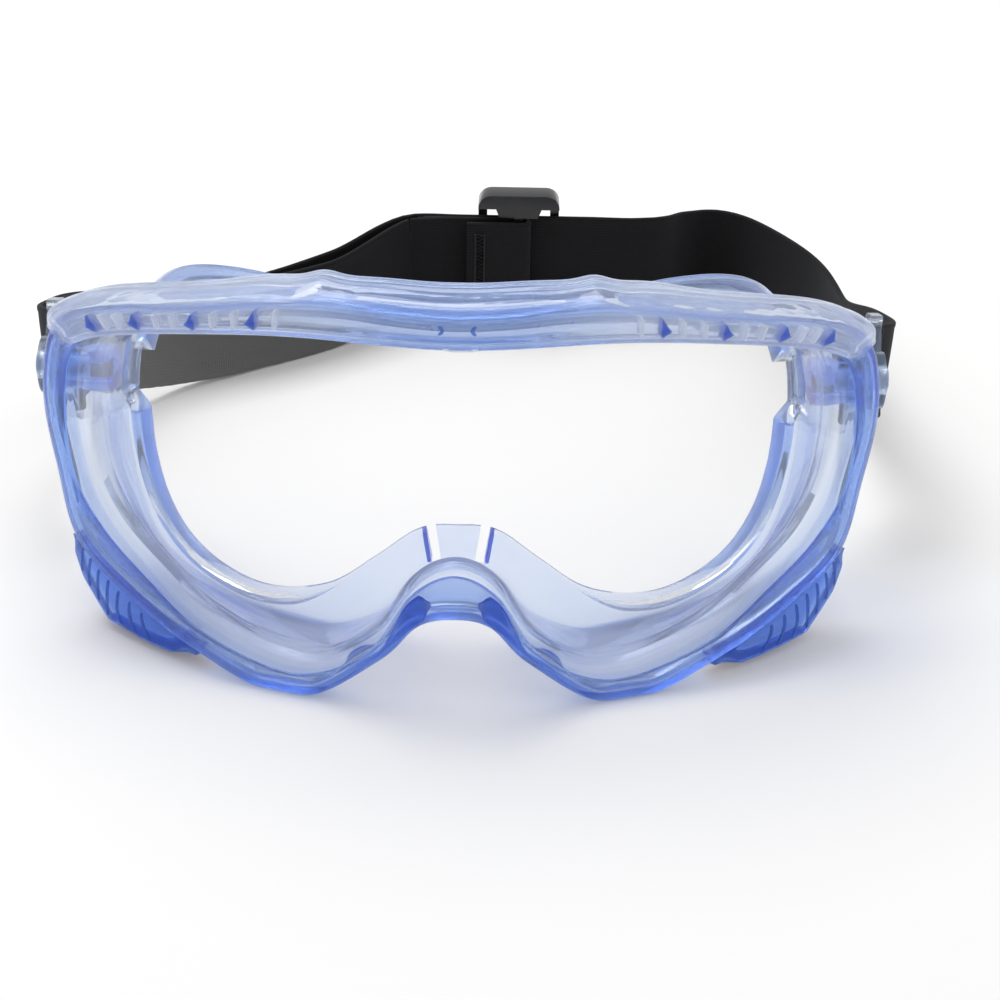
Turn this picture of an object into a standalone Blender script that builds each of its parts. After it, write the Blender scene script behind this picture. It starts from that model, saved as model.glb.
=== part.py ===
"""Wide-vision safety goggles with an elastic headband.

The goggles stand on the two lower lobes of their front rim, and the headband lies
on its edge behind them. X runs across the face, +Y from the lens to the back of
the head, +Z up. Constants are in millimetres; MM turns them into metres.
"""

import bmesh
import bpy
from math import asin, atan, cos, exp, log, pi, radians, sin, sqrt, tan
from mathutils import Matrix, Vector

MM = 0.001

# Where the fitting frame's zero depth lies: it centres the object's box on Y = 0.
DEPTH_SHIFT = -101.256

# Lens: a bent sheet, part of an upright cylinder that leans back.
LENS_RADIUS = 114.0
LENS_LEAN = radians(9.0)
LENS_FRONT = -4.1
LENS_THICKNESS = 2.0
LENS_CENTRE_HEIGHT = 44.0
LENS_EDGE_INSET = 2.6
LENS_RINGS = (0.25, 0.48, 0.68, 0.82, 0.92, 1.0)

# Face side: the seal lies on a second cylinder, bent a little tighter.
SEAL_RADIUS = 90.0
SEAL_FRONT = 23.0
SEAL_LEAN = 0.16

# Frame walls. The waist and the throat step in behind the lens groove, as shares of
# the way from the lens opening to the rim; the fold is the rounded edge of the seal.
FRAME_WALL = 1.6
FIT_GAP = 0.3
GROOVE_PLAY = 0.5
RIM_ROUND = 1.4
WAIST_SHARE = 0.3
THROAT_SHARE = 0.14
THROAT_DEPTH = 2.8
FOLD_DEPTH = 3.0
FOLD_SHOULDERS = ((1.0, -0.6), (2.4, 0.0))
SEAL_EDGE_DEPTH = 0.3
STEPS_PER_POINT = 3
TOP_CENTRE = 0
NOSE_CENTRE = 13

# Half outlines seen from the front, as (x, z), from the top centre round the side
# and the cheek to the nose. Entry k of each list is the same place on the frame.
LENS_OPENING = [
    (0, 72), (28, 73.5), (49, 70.5), (67, 65), (76.5, 58), (79.3, 45), (77.8, 32),
    (72, 24), (62, 17), (50, 9.5), (31, 5.3), (17, 12), (8.5, 24.5), (0, 28.9),
]
RIM = [
    (0, 79), (28, 81), (50, 75.4), (71, 69.3), (82, 61), (85.3, 46), (82.6, 31),
    (78.6, 18), (68, 11), (53, 4.5), (32, -1.0), (14.5, 9.5), (7, 17.3), (0, 19),
]
SEAL_FOLD = [
    (0, 68), (25, 72.5), (44, 73.7), (58, 69.5), (66.8, 60), (72, 45), (73.5, 28),
    (71, 15), (64, 5), (48, 0.8), (30, -0.6), (15, 5), (7.5, 13.5), (0, 16.5),
]
SEAL_EDGE = [
    (0, 60), (22, 65), (41, 66.5), (54, 63), (62, 55), (66, 43), (66, 27),
    (62, 15), (54, 8), (41, 5.3), (27, 9), (17, 16.5), (8, 23.4), (0, 24.5),
]

# Brow cover: a channel over the top of the rim, deeper at the middle.
COVER_WALL = 1.4
COVER_FRONT = -3.8
COVER_RISE = 2.4
COVER_BACK = [11.0, 9.0, 6.5, 6.0, 6.0]
COVER_END = 4.0
COVER_LIP_SHARE = 0.06
COVER_FRONT_SHARE = 0.7

# Lower vent covers: a wedge under each cheek, from rim station 7 to station 9.
VENT_FIRST = 7.0
VENT_LAST = 9.1
VENT_OUTLINE = [(81.6, 17), (78.6, 8.5), (73, 2.0), (63, 1.2), (54.5, 1.2)]
VENT_FRONT = -0.4
VENT_BACK = 8.5
VENT_MIN_WALL = 1.4
VENT_STEPS = 4
VENT_GROOVES = 4
GROOVE_SIZE = (1.3, 2.4, 16.0)
GROOVE_LEAN = radians(38)

# Air slots through the frame wall, as places along the outline.
TOP_SLOTS = [0.84, 1.4, 1.98]
TOP_SLOT_SIZE = (7.0, 4.1, 12.0)
CHEEK_SLOTS = [8.2, 8.8]
CHEEK_SLOT_SIZE = (6.0, 4.0, 14.0)

# Cuts in the seal: a slit each side of the nose tab, and a notch for spectacle arms.
NOSE_SLIT_SIZE = (2.1, 7.0, 9.0)
NOSE_SLIT_CENTRE = (5.3, 27.2, 22.9)
NOSE_SLIT_LEAN = radians(9)
TEMPLE_NOTCH_SIZE = (9.2, 16.0, 11.5)
TEMPLE_NOTCH_CENTRE = (65.0, 58.0, 40.5)

# Strap clips: plates on pivots through the temples, turned down by BAND_SLOPE.
PIVOT_DEPTH = 53.0
PIVOT_HEIGHT = 46.0
BAND_SLOPE = radians(21.0)
CLIP_INNER = 86.0
CLIP_THICKNESS = 2.4
CLIP_EYE_RADIUS = 6.0
CLIP_LENGTH = 19.2
CLIP_HALF_HEIGHT = 16.5
CLIP_SLOT = (11.5, 15.6)
CLIP_SLOT_HALF = 13.4
CLIP_CHAMFER = 1.5
CLIP_CORNER = 1.0
BOSS_RADIUS = 5.5
BOSS_INNER = 71.0
BOSS_OUTER = 85.6
PIN_RADIUS = 2.0
PIN_FROM = 77.4
PIN_HOLE_FROM = 77.0
PIN_CAP_RADIUS = 4.5
PIN_CAP_THICKNESS = 1.4
PIN_CAP_CHAMFER = (0.4, 0.6)
PIN_CLEARANCE = 0.3
ROUND_SIDES = 24

# Headband webbing.
BAND_WIDTH = 25.0
BAND_THICKNESS = 1.3
BAND_LOOP_RADIUS = 2.3
BAND_LOOP_CENTRE = 16.0
BAND_LAYER_STEP = 1.8
BAND_STRAIGHT = 6.0
BAND_SETTLE = 1.5
BAND_STEP = 5.0
LAYERS_CLOSE = 28.0
STITCHED_END = 22.0
# Plan of the outer layer behind each clip and round the back, as (x, y).
RIGHT_SIDE = [(95.2, 83), (96, 98), (95.4, 125), (94.6, 153), (91.5, 171), (84, 188)]
BACK_WAVE = [(75, 201), (66, 205), (58, 199), (52, 191), (45, 186.5)]
LEFT_WAVE = [(-16, 186.5), (-24.5, 182), (-33, 174.5), (-42, 165), (-51.5, 155.5)]
LEFT_SIDE = [(-62, 147), (-76, 138.5), (-88, 126), (-95, 108), (-96, 94), (-95.2, 83)]

# Slider: two rails joined by side bars behind the band and a middle bar before it.
SLIDER_X = 12.0
SLIDER_DEPTH = 186.5
SLIDER_WIDTH = 22.0
SLIDER_HEIGHT = 36.5
SLIDER_RAIL = 3.8
SLIDER_BAR = 2.6
SLIDER_BAR_BACK = 1.6
SLIDER_BAR_MIDDLE = 1.8
SLIDER_GAP = 0.35
LOOP_SLACK = 0.9
SLACK_FROM = -62.0
SLACK_TO = -9.0
SLACK_DEPTH = 4.0
LOOP_TAIL = 18.0
LOOP_RETURN = 14.0
SLIDE_BACK = 10.0
LIFT_HEIGHT = 4.3
LIFT_MIDDLE = 14.0
LIFT_FLAT = 30.0
LIFT_END = 52.0

# Stitching that closes each sewn loop.
TACK_FROM_END = 1.5
TACK_LENGTH = 2.4
TACK_WIDTH = 19.0
TACK_THICKNESS = 0.5

MATERIALS = {
    "blue_pvc": ((0.42, 0.58, 0.95, 1.0), 0.12, 0.45),
    "clear_lens": ((0.93, 0.96, 0.98, 1.0), 0.03, 0.25),
    "clear_clip": ((0.80, 0.86, 0.95, 1.0), 0.10, 0.45),
    "pivot_nylon": ((0.75, 0.82, 0.93, 1.0), 0.25, 0.8),
    "black_webbing": ((0.012, 0.012, 0.014, 1.0), 0.85, 1.0),
    "black_plastic": ((0.015, 0.015, 0.017, 1.0), 0.35, 1.0),
    "black_thread": ((0.02, 0.02, 0.022, 1.0), 0.7, 1.0),
}


# ---------------------------------------------------------------- scene helpers

def clear_scene():
    """Remove every object, so that the script can run in any open file."""
    for old in list(bpy.data.objects):
        bpy.data.objects.remove(old, do_unlink=True)


def new_collection(name):
    """Return an empty collection linked to the scene."""
    collection = bpy.data.collections.new(name)
    bpy.context.scene.collection.children.link(collection)
    return collection


def make_material(name):
    """Build one Principled material from its colour, roughness and opacity."""
    colour, roughness, alpha = MATERIALS[name]
    material = bpy.data.materials.new(name)
    material.use_nodes = True
    shader = material.node_tree.nodes["Principled BSDF"]
    shader.inputs["Base Color"].default_value = colour
    shader.inputs["Roughness"].default_value = roughness
    shader.inputs["Metallic"].default_value = 0.0
    shader.inputs["Alpha"].default_value = alpha
    return material


def add_object(name, mesh_builder, material, collection, parent=None):
    """Turn a bmesh in millimetres into a named object whose origin is its parent's."""
    origin = parent.location if parent else Vector((0, 0, 0))
    bmesh.ops.transform(mesh_builder, matrix=Matrix.Scale(MM, 4), verts=mesh_builder.verts)
    bmesh.ops.translate(mesh_builder, vec=-origin, verts=mesh_builder.verts)
    mesh = bpy.data.meshes.new(name)
    mesh_builder.to_mesh(mesh)
    mesh_builder.free()
    mesh.shade_smooth()
    mesh.set_sharp_from_angle(angle=radians(35))
    mesh.materials.append(material)
    thing = bpy.data.objects.new(name, mesh)
    collection.objects.link(thing)
    thing.parent = parent
    return thing


def add_empty(name, x, y, z, collection):
    """Place an empty on a joint axis; x, y and z are in the fitting frame."""
    empty = bpy.data.objects.new(name, None)
    empty.location = Vector((x, y + DEPTH_SHIFT, z)) * MM
    collection.objects.link(empty)
    return empty


def add_mirror(thing):
    """Complete a half that is open at X = 0."""
    mirror = thing.modifiers.new("mirror", "MIRROR")
    mirror.merge_threshold = 0.00005


def add_thickness(thing, thickness, offset):
    """Give an open surface its wall; offset -1 grows it behind the faces."""
    wall = thing.modifiers.new("wall", "SOLIDIFY")
    wall.thickness = thickness * MM
    wall.offset = offset
    wall.use_even_offset = True


def add_boolean(thing, tool, operation="DIFFERENCE"):
    """Cut or join another object."""
    step = thing.modifiers.new(tool.name, "BOOLEAN")
    step.operation = operation
    step.solver = "EXACT"
    step.object = tool


def as_cutter(thing):
    """Hide a tool object from renders and draw it as wire."""
    thing.hide_render = True
    thing.display_type = "WIRE"
    return thing


# --------------------------------------------------------------- shared geometry

def outline_at(outline, place):
    """Point of a half outline at a fractional index, on a Catmull-Rom curve."""
    last = len(outline) - 1
    index = min(int(place), last - 1)
    t = place - index

    def control(k):
        if k < 0:
            return Vector((-outline[-k][0], outline[-k][1]))
        if k > last:
            return Vector((-outline[2 * last - k][0], outline[2 * last - k][1]))
        return Vector(outline[k])

    before, start, end, after = (control(index + k) for k in (-1, 0, 1, 2))
    return 0.5 * (
        2 * start
        + (end - before) * t
        + (2 * before - 5 * start + 4 * end - after) * t * t
        + (3 * start - before - 3 * end + after) * t ** 3
    )


def rim_at(place):
    """Point of the rim outline, flattened where the lower lobe stands on a surface."""
    point = outline_at(RIM, place)
    return Vector((point.x, max(point.y, 0.0)))


def toward(start, end, distance):
    """Move from one outline point toward another by a distance in millimetres."""
    step = end - start
    return start + step * (distance / step.length)


def on_lens(point, depth):
    """Lift an outline point to the lens cylinder, depth behind its front face."""
    x, z = point
    z = max(z, 0.0)
    angle = asin(x / LENS_RADIUS)
    y = LENS_FRONT + z * tan(LENS_LEAN) + LENS_RADIUS - (LENS_RADIUS - depth) * cos(angle)
    return Vector(((LENS_RADIUS - depth) * sin(angle), y + DEPTH_SHIFT, z))


def on_seal(point, depth):
    """Lift an outline point to the face side of the seal."""
    x, z = point
    z = max(z, 0.0)
    y = SEAL_FRONT + z * SEAL_LEAN + SEAL_RADIUS - sqrt(SEAL_RADIUS ** 2 - x * x) + depth
    return Vector((x, y + DEPTH_SHIFT, z))


def stations(first, last, steps=STEPS_PER_POINT):
    """Evenly spaced places along the outlines."""
    count = round((last - first) * steps)
    return [first + (last - first) * k / count for k in range(count + 1)]


def loft(rows, closed_rows=False):
    """Join rows of points into quads; each row is one cross-section."""
    builder = bmesh.new()
    grid = [[builder.verts.new(point) for point in row] for row in rows]
    width = len(grid[0])
    for first, second in zip(grid, grid[1:]):
        for k in range(width if closed_rows else width - 1):
            after = (k + 1) % width
            builder.faces.new((first[k], second[k], second[after], first[after]))
    return builder, grid


def add_box(centre, size, rotation=None):
    """Box in millimetres about a centre in world coordinates."""
    builder = bmesh.new()
    bmesh.ops.create_cube(builder, size=1.0)
    bmesh.ops.transform(builder, matrix=Matrix.Diagonal((*size, 1.0)), verts=builder.verts)
    if rotation:
        bmesh.ops.rotate(builder, matrix=rotation, verts=builder.verts)
    bmesh.ops.translate(builder, vec=centre, verts=builder.verts)
    return builder


def add_rod(x_from, x_to, y, z, radius):
    """Cylinder along X in millimetres, in world coordinates."""
    builder = bmesh.new()
    bmesh.ops.create_cone(
        builder, cap_ends=True, segments=ROUND_SIDES, radius1=radius, radius2=radius,
        depth=abs(x_to - x_from),
    )
    bmesh.ops.rotate(builder, matrix=Matrix.Rotation(pi / 2, 3, "Y"), verts=builder.verts)
    bmesh.ops.translate(builder, vec=((x_from + x_to) / 2, y, z), verts=builder.verts)
    return builder


# ------------------------------------------------------------------ face assembly

def frame_section(place):
    """Cross-section of the frame: lens lip, rim, waist, skirt, fold and seal edge."""
    opening = outline_at(LENS_OPENING, place)
    rim = rim_at(place)
    fold = outline_at(SEAL_FOLD, place)
    edge = outline_at(SEAL_EDGE, place)
    lip_depth = -(FRAME_WALL + FIT_GAP)
    back_depth = LENS_THICKNESS + GROOVE_PLAY + FRAME_WALL
    waist = on_lens(opening.lerp(rim, WAIST_SHARE), back_depth)
    throat = on_lens(opening.lerp(rim, THROAT_SHARE), back_depth + THROAT_DEPTH)
    fold_front = on_seal(fold, -FOLD_DEPTH)
    skirt = throat.lerp(fold_front, 0.5)
    shoulders = [on_seal(toward(fold, edge, inset), depth) for inset, depth in FOLD_SHOULDERS]
    return [
        on_lens(opening, lip_depth),
        on_lens(toward(rim, opening, RIM_ROUND), lip_depth),
        on_lens(rim, lip_depth + RIM_ROUND),
        on_lens(rim, back_depth),
        waist,
        throat,
        skirt,
        fold_front,
        *shoulders,
        on_seal(edge, SEAL_EDGE_DEPTH),
    ]


def paired_cutter(name, centres, size, cutters, lean=0.0):
    """Boxes of one size at the given right-hand centres, and their mirror images."""
    joined = bmesh.new()
    for centre in centres:
        for side in (-1, 1):
            turn = Matrix.Rotation(side * lean, 3, "Y")
            box = add_box(Vector((side * centre[0], centre[1], centre[2])), size, turn)
            mesh = bpy.data.meshes.new("cut")
            box.to_mesh(mesh)
            box.free()
            joined.from_mesh(mesh)
            bpy.data.meshes.remove(mesh)
    return as_cutter(add_object(name, joined, bpy.data.materials["blue_pvc"], cutters))


def wall_middle(place):
    """Middle of the frame wall between the throat and the skirt."""
    section = frame_section(place)
    return section[5].lerp(section[6], 0.45)


def make_frame(material, parts, cutters):
    """Soft moulded body that holds the lens and seals against the face."""
    rows = [frame_section(place) for place in stations(TOP_CENTRE, NOSE_CENTRE)]
    builder, _grid = loft(rows)
    frame = add_object("face_seal_frame", builder, material, parts)
    add_mirror(frame)
    add_thickness(frame, FRAME_WALL, -1.0)
    pivot_y = PIVOT_DEPTH + DEPTH_SHIFT
    for side, label in ((-1, "left"), (1, "right")):
        boss = add_rod(side * BOSS_INNER, side * BOSS_OUTER, pivot_y, PIVOT_HEIGHT, BOSS_RADIUS)
        boss = as_cutter(add_object("boss_" + label, boss, material, cutters))
        add_boolean(frame, boss, "UNION")
    for side, label in ((-1, "left"), (1, "right")):
        bore = add_rod(
            side * PIN_HOLE_FROM, side * (BOSS_OUTER + 2), pivot_y, PIVOT_HEIGHT,
            PIN_RADIUS + PIN_CLEARANCE,
        )
        bore = as_cutter(add_object("boss_bore_" + label, bore, material, cutters))
        add_boolean(frame, bore)
    shift = Vector((0, DEPTH_SHIFT, 0))
    cuts = [
        ("top_slots", [wall_middle(place) for place in TOP_SLOTS], TOP_SLOT_SIZE, 0.0),
        ("cheek_slots", [wall_middle(place) for place in CHEEK_SLOTS], CHEEK_SLOT_SIZE, 0.0),
        ("nose_slits", [Vector(NOSE_SLIT_CENTRE) + shift], NOSE_SLIT_SIZE, NOSE_SLIT_LEAN),
        ("temple_notches", [Vector(TEMPLE_NOTCH_CENTRE) + shift], TEMPLE_NOTCH_SIZE, 0.0),
    ]
    for name, centres, size, lean in cuts:
        add_boolean(frame, paired_cutter(name, centres, size, cutters, lean))
    return frame


def make_lens(material, parts):
    """Bent sheet whose edge sits in the groove of the frame."""
    builder = bmesh.new()
    centre = builder.verts.new(on_lens(Vector((0, LENS_CENTRE_HEIGHT)), 0.0))
    middle = Vector((0, LENS_CENTRE_HEIGHT))
    columns = []
    for place in stations(TOP_CENTRE, NOSE_CENTRE):
        rim = rim_at(place)
        edge = toward(rim, outline_at(LENS_OPENING, place), LENS_EDGE_INSET)
        column = [
            builder.verts.new(on_lens(middle.lerp(edge, share), 0.0))
            for share in LENS_RINGS
        ]
        columns.append(column)
    for first, second in zip(columns, columns[1:]):
        builder.faces.new((centre, first[0], second[0]))
        for k in range(len(LENS_RINGS) - 1):
            builder.faces.new((first[k], first[k + 1], second[k + 1], second[k]))
    bmesh.ops.recalc_face_normals(builder, faces=builder.faces)
    if sum(face.normal.y for face in builder.faces) > 0:
        bmesh.ops.reverse_faces(builder, faces=builder.faces)
    lens = add_object("lens", builder, material, parts)
    add_mirror(lens)
    add_thickness(lens, LENS_THICKNESS, -1.0)
    return lens


def cover_section(place):
    """Cross-section of the brow cover, from its lower front edge to its back edge."""
    opening = outline_at(LENS_OPENING, place)
    rim = rim_at(place)
    index = min(int(place), len(COVER_BACK) - 2)
    share = place - index
    back = COVER_BACK[index] * (1 - share) + COVER_BACK[index + 1] * share

    def out(distance):
        return rim - (toward(rim, opening, distance) - rim)

    return [
        on_lens(opening.lerp(rim, COVER_LIP_SHARE), COVER_FRONT),
        on_lens(opening.lerp(rim, COVER_FRONT_SHARE), COVER_FRONT - 0.2),
        on_lens(out(COVER_RISE * 0.55), COVER_FRONT + 0.6),
        on_lens(out(COVER_RISE), 0.0),
        on_lens(out(COVER_RISE + 0.3), back * 0.6),
        on_lens(out(COVER_RISE - 0.2), back),
    ]


def make_brow_cover(material, parts):
    """Channel that shields the air slots along the brow."""
    rows = [cover_section(place) for place in stations(TOP_CENTRE, COVER_END)]
    builder, _grid = loft(rows)
    cover = add_object("brow_vent_cover", builder, material, parts)
    add_mirror(cover)
    add_thickness(cover, COVER_WALL, -1.0)
    return cover


def make_vent_cover(side, label, material, parts, cutters):
    """Finned wedge under one cheek that shields the lower air slots."""
    rows = []
    for place in stations(VENT_FIRST, VENT_LAST, VENT_STEPS):
        rim = rim_at(place)
        opening = outline_at(LENS_OPENING, place)
        inner = rim - (toward(rim, opening, FIT_GAP + 0.1) - rim)
        share = (place - VENT_FIRST) / (VENT_LAST - VENT_FIRST) * (len(VENT_OUTLINE) - 1)
        index = min(int(share), len(VENT_OUTLINE) - 2)
        outer = Vector(VENT_OUTLINE[index]).lerp(Vector(VENT_OUTLINE[index + 1]), share - index)
        if (outer - inner).length < VENT_MIN_WALL:
            outer = toward(inner, outer, VENT_MIN_WALL)
        corners = [(inner, VENT_FRONT), (outer, VENT_FRONT), (outer, VENT_BACK), (inner, VENT_BACK)]
        row = [on_lens(point, depth) for point, depth in corners]
        rows.append([Vector((side * point.x, point.y, point.z)) for point in row])
    builder, grid = loft(rows, closed_rows=True)
    builder.faces.new(grid[0])
    builder.faces.new(grid[-1])
    bmesh.ops.recalc_face_normals(builder, faces=builder.faces)
    name = "lower_vent_cover_" + label
    cover = add_object(name, builder, material, parts)

    grooves = bmesh.new()
    lean = Matrix.Rotation(side * GROOVE_LEAN, 3, "Y")
    for k in range(VENT_GROOVES):
        share = (k + 1.2) / (VENT_GROOVES + 1.4)
        row = rows[round(share * (len(rows) - 1))]
        centre = row[1].lerp(row[0], 0.25)
        box = add_box(centre, GROOVE_SIZE, lean)
        mesh = bpy.data.meshes.new("groove")
        box.to_mesh(mesh)
        box.free()
        grooves.from_mesh(mesh)
        bpy.data.meshes.remove(mesh)
    add_boolean(cover, as_cutter(add_object("grooves_" + label, grooves, material, cutters)))
    return cover


# ------------------------------------------------------------------- strap clips

def make_clip(side, label, material, parts, cutters, swing):
    """Clear plate that turns on the temple pivot and carries the band on its end bar."""
    builder = bmesh.new()
    outline = []
    for k in range(9):
        angle = radians(80) + k * radians(200) / 8
        outline.append((CLIP_EYE_RADIUS * cos(angle), CLIP_EYE_RADIUS * sin(angle)))
    flank = CLIP_SLOT[0] - CLIP_CHAMFER
    outline += [
        (flank, -CLIP_HALF_HEIGHT + CLIP_CHAMFER),
        (flank + CLIP_CHAMFER + 0.5, -CLIP_HALF_HEIGHT),
        (CLIP_LENGTH - CLIP_CORNER, -CLIP_HALF_HEIGHT),
        (CLIP_LENGTH, -CLIP_HALF_HEIGHT + CLIP_CORNER),
        (CLIP_LENGTH, CLIP_HALF_HEIGHT - CLIP_CORNER),
        (CLIP_LENGTH - CLIP_CORNER, CLIP_HALF_HEIGHT),
        (flank + CLIP_CHAMFER + 0.5, CLIP_HALF_HEIGHT),
        (flank, CLIP_HALF_HEIGHT - CLIP_CHAMFER),
    ]
    middle = CLIP_INNER + CLIP_THICKNESS / 2
    turn = Matrix.Rotation(-BAND_SLOPE, 3, "X")
    pivot = Vector((0, PIVOT_DEPTH + DEPTH_SHIFT, PIVOT_HEIGHT))
    corners = [turn @ Vector((side * middle, y, z)) + pivot for y, z in outline]
    builder.faces.new([builder.verts.new(point) for point in corners])
    clip = add_object("strap_clip_" + label, builder, material, parts, swing)
    add_thickness(clip, CLIP_THICKNESS, 0.0)

    slot_middle = sum(CLIP_SLOT) / 2
    slot_size = (CLIP_THICKNESS * 3, CLIP_SLOT[1] - CLIP_SLOT[0], CLIP_SLOT_HALF * 2)
    slot_centre = turn @ Vector((side * middle, slot_middle, 0)) + pivot
    slot = add_box(slot_centre, slot_size, turn)
    add_boolean(clip, as_cutter(add_object("clip_slot_" + label, slot, material, cutters)))
    eye = add_rod(
        side * (middle - 4), side * (middle + 4), pivot.y, pivot.z, PIN_RADIUS + PIN_CLEARANCE
    )
    add_boolean(clip, as_cutter(add_object("clip_eye_" + label, eye, material, cutters)))
    return clip


def make_pivot(side, label, material, parts):
    """Stepped pin pressed into the temple boss, with a cap that keeps the clip on."""
    cap_from = CLIP_INNER + CLIP_THICKNESS + FIT_GAP
    cap_to = cap_from + PIN_CAP_THICKNESS
    profile = [
        (PIN_FROM, PIN_RADIUS),
        (cap_from, PIN_RADIUS),
        (cap_from, PIN_CAP_RADIUS),
        (cap_to - PIN_CAP_CHAMFER[0], PIN_CAP_RADIUS),
        (cap_to, PIN_CAP_RADIUS - PIN_CAP_CHAMFER[1]),
    ]
    builder = bmesh.new()
    rings = []
    for x, radius in profile:
        ring = []
        for k in range(ROUND_SIDES):
            angle = 2 * pi * k / ROUND_SIDES
            y = PIVOT_DEPTH + DEPTH_SHIFT + radius * cos(angle)
            ring.append(builder.verts.new((side * x, y, PIVOT_HEIGHT + radius * sin(angle))))
        rings.append(ring)
    for first, second in zip(rings, rings[1:]):
        for k in range(ROUND_SIDES):
            after = (k + 1) % ROUND_SIDES
            builder.faces.new((first[k], first[after], second[after], second[k]))
    builder.faces.new(rings[0])
    builder.faces.new(rings[-1])
    bmesh.ops.recalc_face_normals(builder, faces=builder.faces)
    return add_object("clip_pivot_" + label, builder, material, parts)


# ----------------------------------------------------------------------- headband

def band_height(x, y):
    """Height of the webbing's middle.

    It runs down from the clips, then level on its edge, and rises onto the slider's rail.
    """
    level = BAND_WIDTH / 2
    touch = PIVOT_DEPTH + (PIVOT_HEIGHT - level) / tan(BAND_SLOPE)
    slope = (touch - y) * tan(BAND_SLOPE) / BAND_SETTLE
    drop = BAND_SETTLE * (slope if slope > 30 else log(1 + exp(slope)))
    away = (abs(x - LIFT_MIDDLE) - LIFT_FLAT) / (LIFT_END - LIFT_FLAT)
    away = min(max(away, 0.0), 1.0)
    lift = LIFT_HEIGHT * (1 - away * away * (3 - 2 * away))
    return level + drop + (lift if y > PIVOT_DEPTH + 90 else 0.0)


def band_lean(y):
    """Angle of the webbing's width from upright at one depth."""
    level = BAND_WIDTH / 2
    touch = PIVOT_DEPTH + (PIVOT_HEIGHT - level) / tan(BAND_SLOPE)
    slope = (touch - y) * tan(BAND_SLOPE) / BAND_SETTLE
    return atan(tan(BAND_SLOPE) / (1 + exp(-max(min(slope, 40), -40))))


def smooth_path(points, step=BAND_STEP):
    """Sample a Catmull-Rom curve through plan points about every step millimetres."""
    padded = [2 * points[0] - points[1]] + points + [2 * points[-1] - points[-2]]
    path = []
    for k in range(1, len(padded) - 2):
        before, start, end, after = padded[k - 1:k + 3]
        count = max(1, round((end - start).length / step))
        for j in range(count):
            t = j / count
            path.append(0.5 * (
                2 * start
                + (end - before) * t
                + (2 * before - 5 * start + 4 * end - after) * t * t
                + (3 * start - before - 3 * end + after) * t ** 3
            ))
    path.append(points[-1])
    return path


def clip_turn(side, reverse):
    """Half turn of the webbing round a clip's end bar, from outside to inside."""
    middle = CLIP_INNER + CLIP_THICKNESS / 2
    turn = []
    for k in range(7):
        angle = pi * k / 6
        across = middle + BAND_LOOP_RADIUS * cos(angle)
        along = BAND_LOOP_CENTRE - BAND_LOOP_RADIUS * sin(angle)
        turn.append(Vector((side * across, PIVOT_DEPTH + along * cos(BAND_SLOPE))))
    return turn[::-1] if reverse else turn


def offset_path(path, distances):
    """Move each plan point toward the inside of the headband."""
    moved = []
    for k, point in enumerate(path):
        ahead = path[min(k + 1, len(path) - 1)] - path[max(k - 1, 0)]
        ahead.normalize()
        moved.append(point + Vector((-ahead.y, ahead.x)) * distances[k])
    return moved


def path_lengths(path):
    """Length run from the first plan point to each point."""
    lengths = [0.0]
    for first, second in zip(path, path[1:]):
        lengths.append(lengths[-1] + (second - first).length)
    return lengths


def layer_gap(run, wide):
    """Distance between two layers, wide at the clip bar and closing behind it."""
    share = min(max(run - BAND_STRAIGHT, 0.0) / LAYERS_CLOSE, 1.0)
    share = share * share * (3 - 2 * share)
    return wide + (BAND_LAYER_STEP - wide) * share


def slack_gap(x):
    """Extra distance where the inner layer hangs slack beside the slider."""
    share = min(max((x - SLACK_FROM) / (SLACK_TO - SLACK_FROM), 0.0), 1.0)
    return SLACK_DEPTH * sin(pi * share) ** 2


def outer_path():
    """Plan of the outer layer from the right clip round to the left clip."""
    start = clip_turn(1, False)[0]
    finish = clip_turn(-1, False)[0]
    straight = Vector((0, BAND_STRAIGHT))
    plan = [start, start + straight]
    plan += [Vector(p) for p in RIGHT_SIDE + BACK_WAVE]
    plan += [Vector((SLIDER_X + k, SLIDER_DEPTH)) for k in (20, 8, -4, -16)]
    plan += [Vector(p) for p in LEFT_WAVE + LEFT_SIDE]
    plan += [finish + straight, finish]
    return smooth_path(plan)


def ribbon_rows(path, width, shift=0.0):
    """Two edge points for each plan point; shift moves the ribbon inward."""
    points = [Vector((p.x, p.y + DEPTH_SHIFT, band_height(p.x, p.y))) for p in path]
    rows = []
    for k, point in enumerate(points):
        ahead = points[min(k + 1, len(points) - 1)] - points[max(k - 1, 0)]
        ahead.normalize()
        lean = band_lean(path[k].y)
        up = Vector((0, sin(lean), cos(lean)))
        up = (up - ahead * up.dot(ahead)).normalized()
        inward = up.cross(ahead)
        middle = point + inward * shift
        rows.append([middle - up * width / 2, middle + up * width / 2])
    return rows


def make_ribbon(name, path, width, thickness, material, parts, parent, shift=0.0):
    """Webbing of even thickness along a plan path."""
    builder, _grid = loft(ribbon_rows(path, width, shift))
    band = add_object(name, builder, material, parts, parent)
    add_thickness(band, thickness, 0.0)
    return band


def headband_paths():
    """Plan of the webbing up to the slider's travel, and of its sewn right end alone."""
    outer = outer_path()
    wide = 2 * BAND_LOOP_RADIUS
    run = path_lengths(outer)
    back_run = [run[-1] - length for length in run]
    right_inner = offset_path(outer, [layer_gap(length, wide) for length in run])
    left_gaps = [
        layer_gap(length, wide) + slack_gap(point.x) for point, length in zip(outer, back_run)
    ]
    left_inner = offset_path(outer, left_gaps)
    sewn = [p for p, length in zip(right_inner, run) if length <= STITCHED_END]
    last_x = SLIDER_X - LOOP_TAIL - SLIDE_BACK
    doubled = [p for p, place in zip(left_inner, outer) if place.x < last_x]
    whole = sewn[:0:-1] + clip_turn(1, True)[:-1] + outer[:-1]
    whole += clip_turn(-1, False)[:-1] + doubled[::-1]
    return whole, sewn


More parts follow.
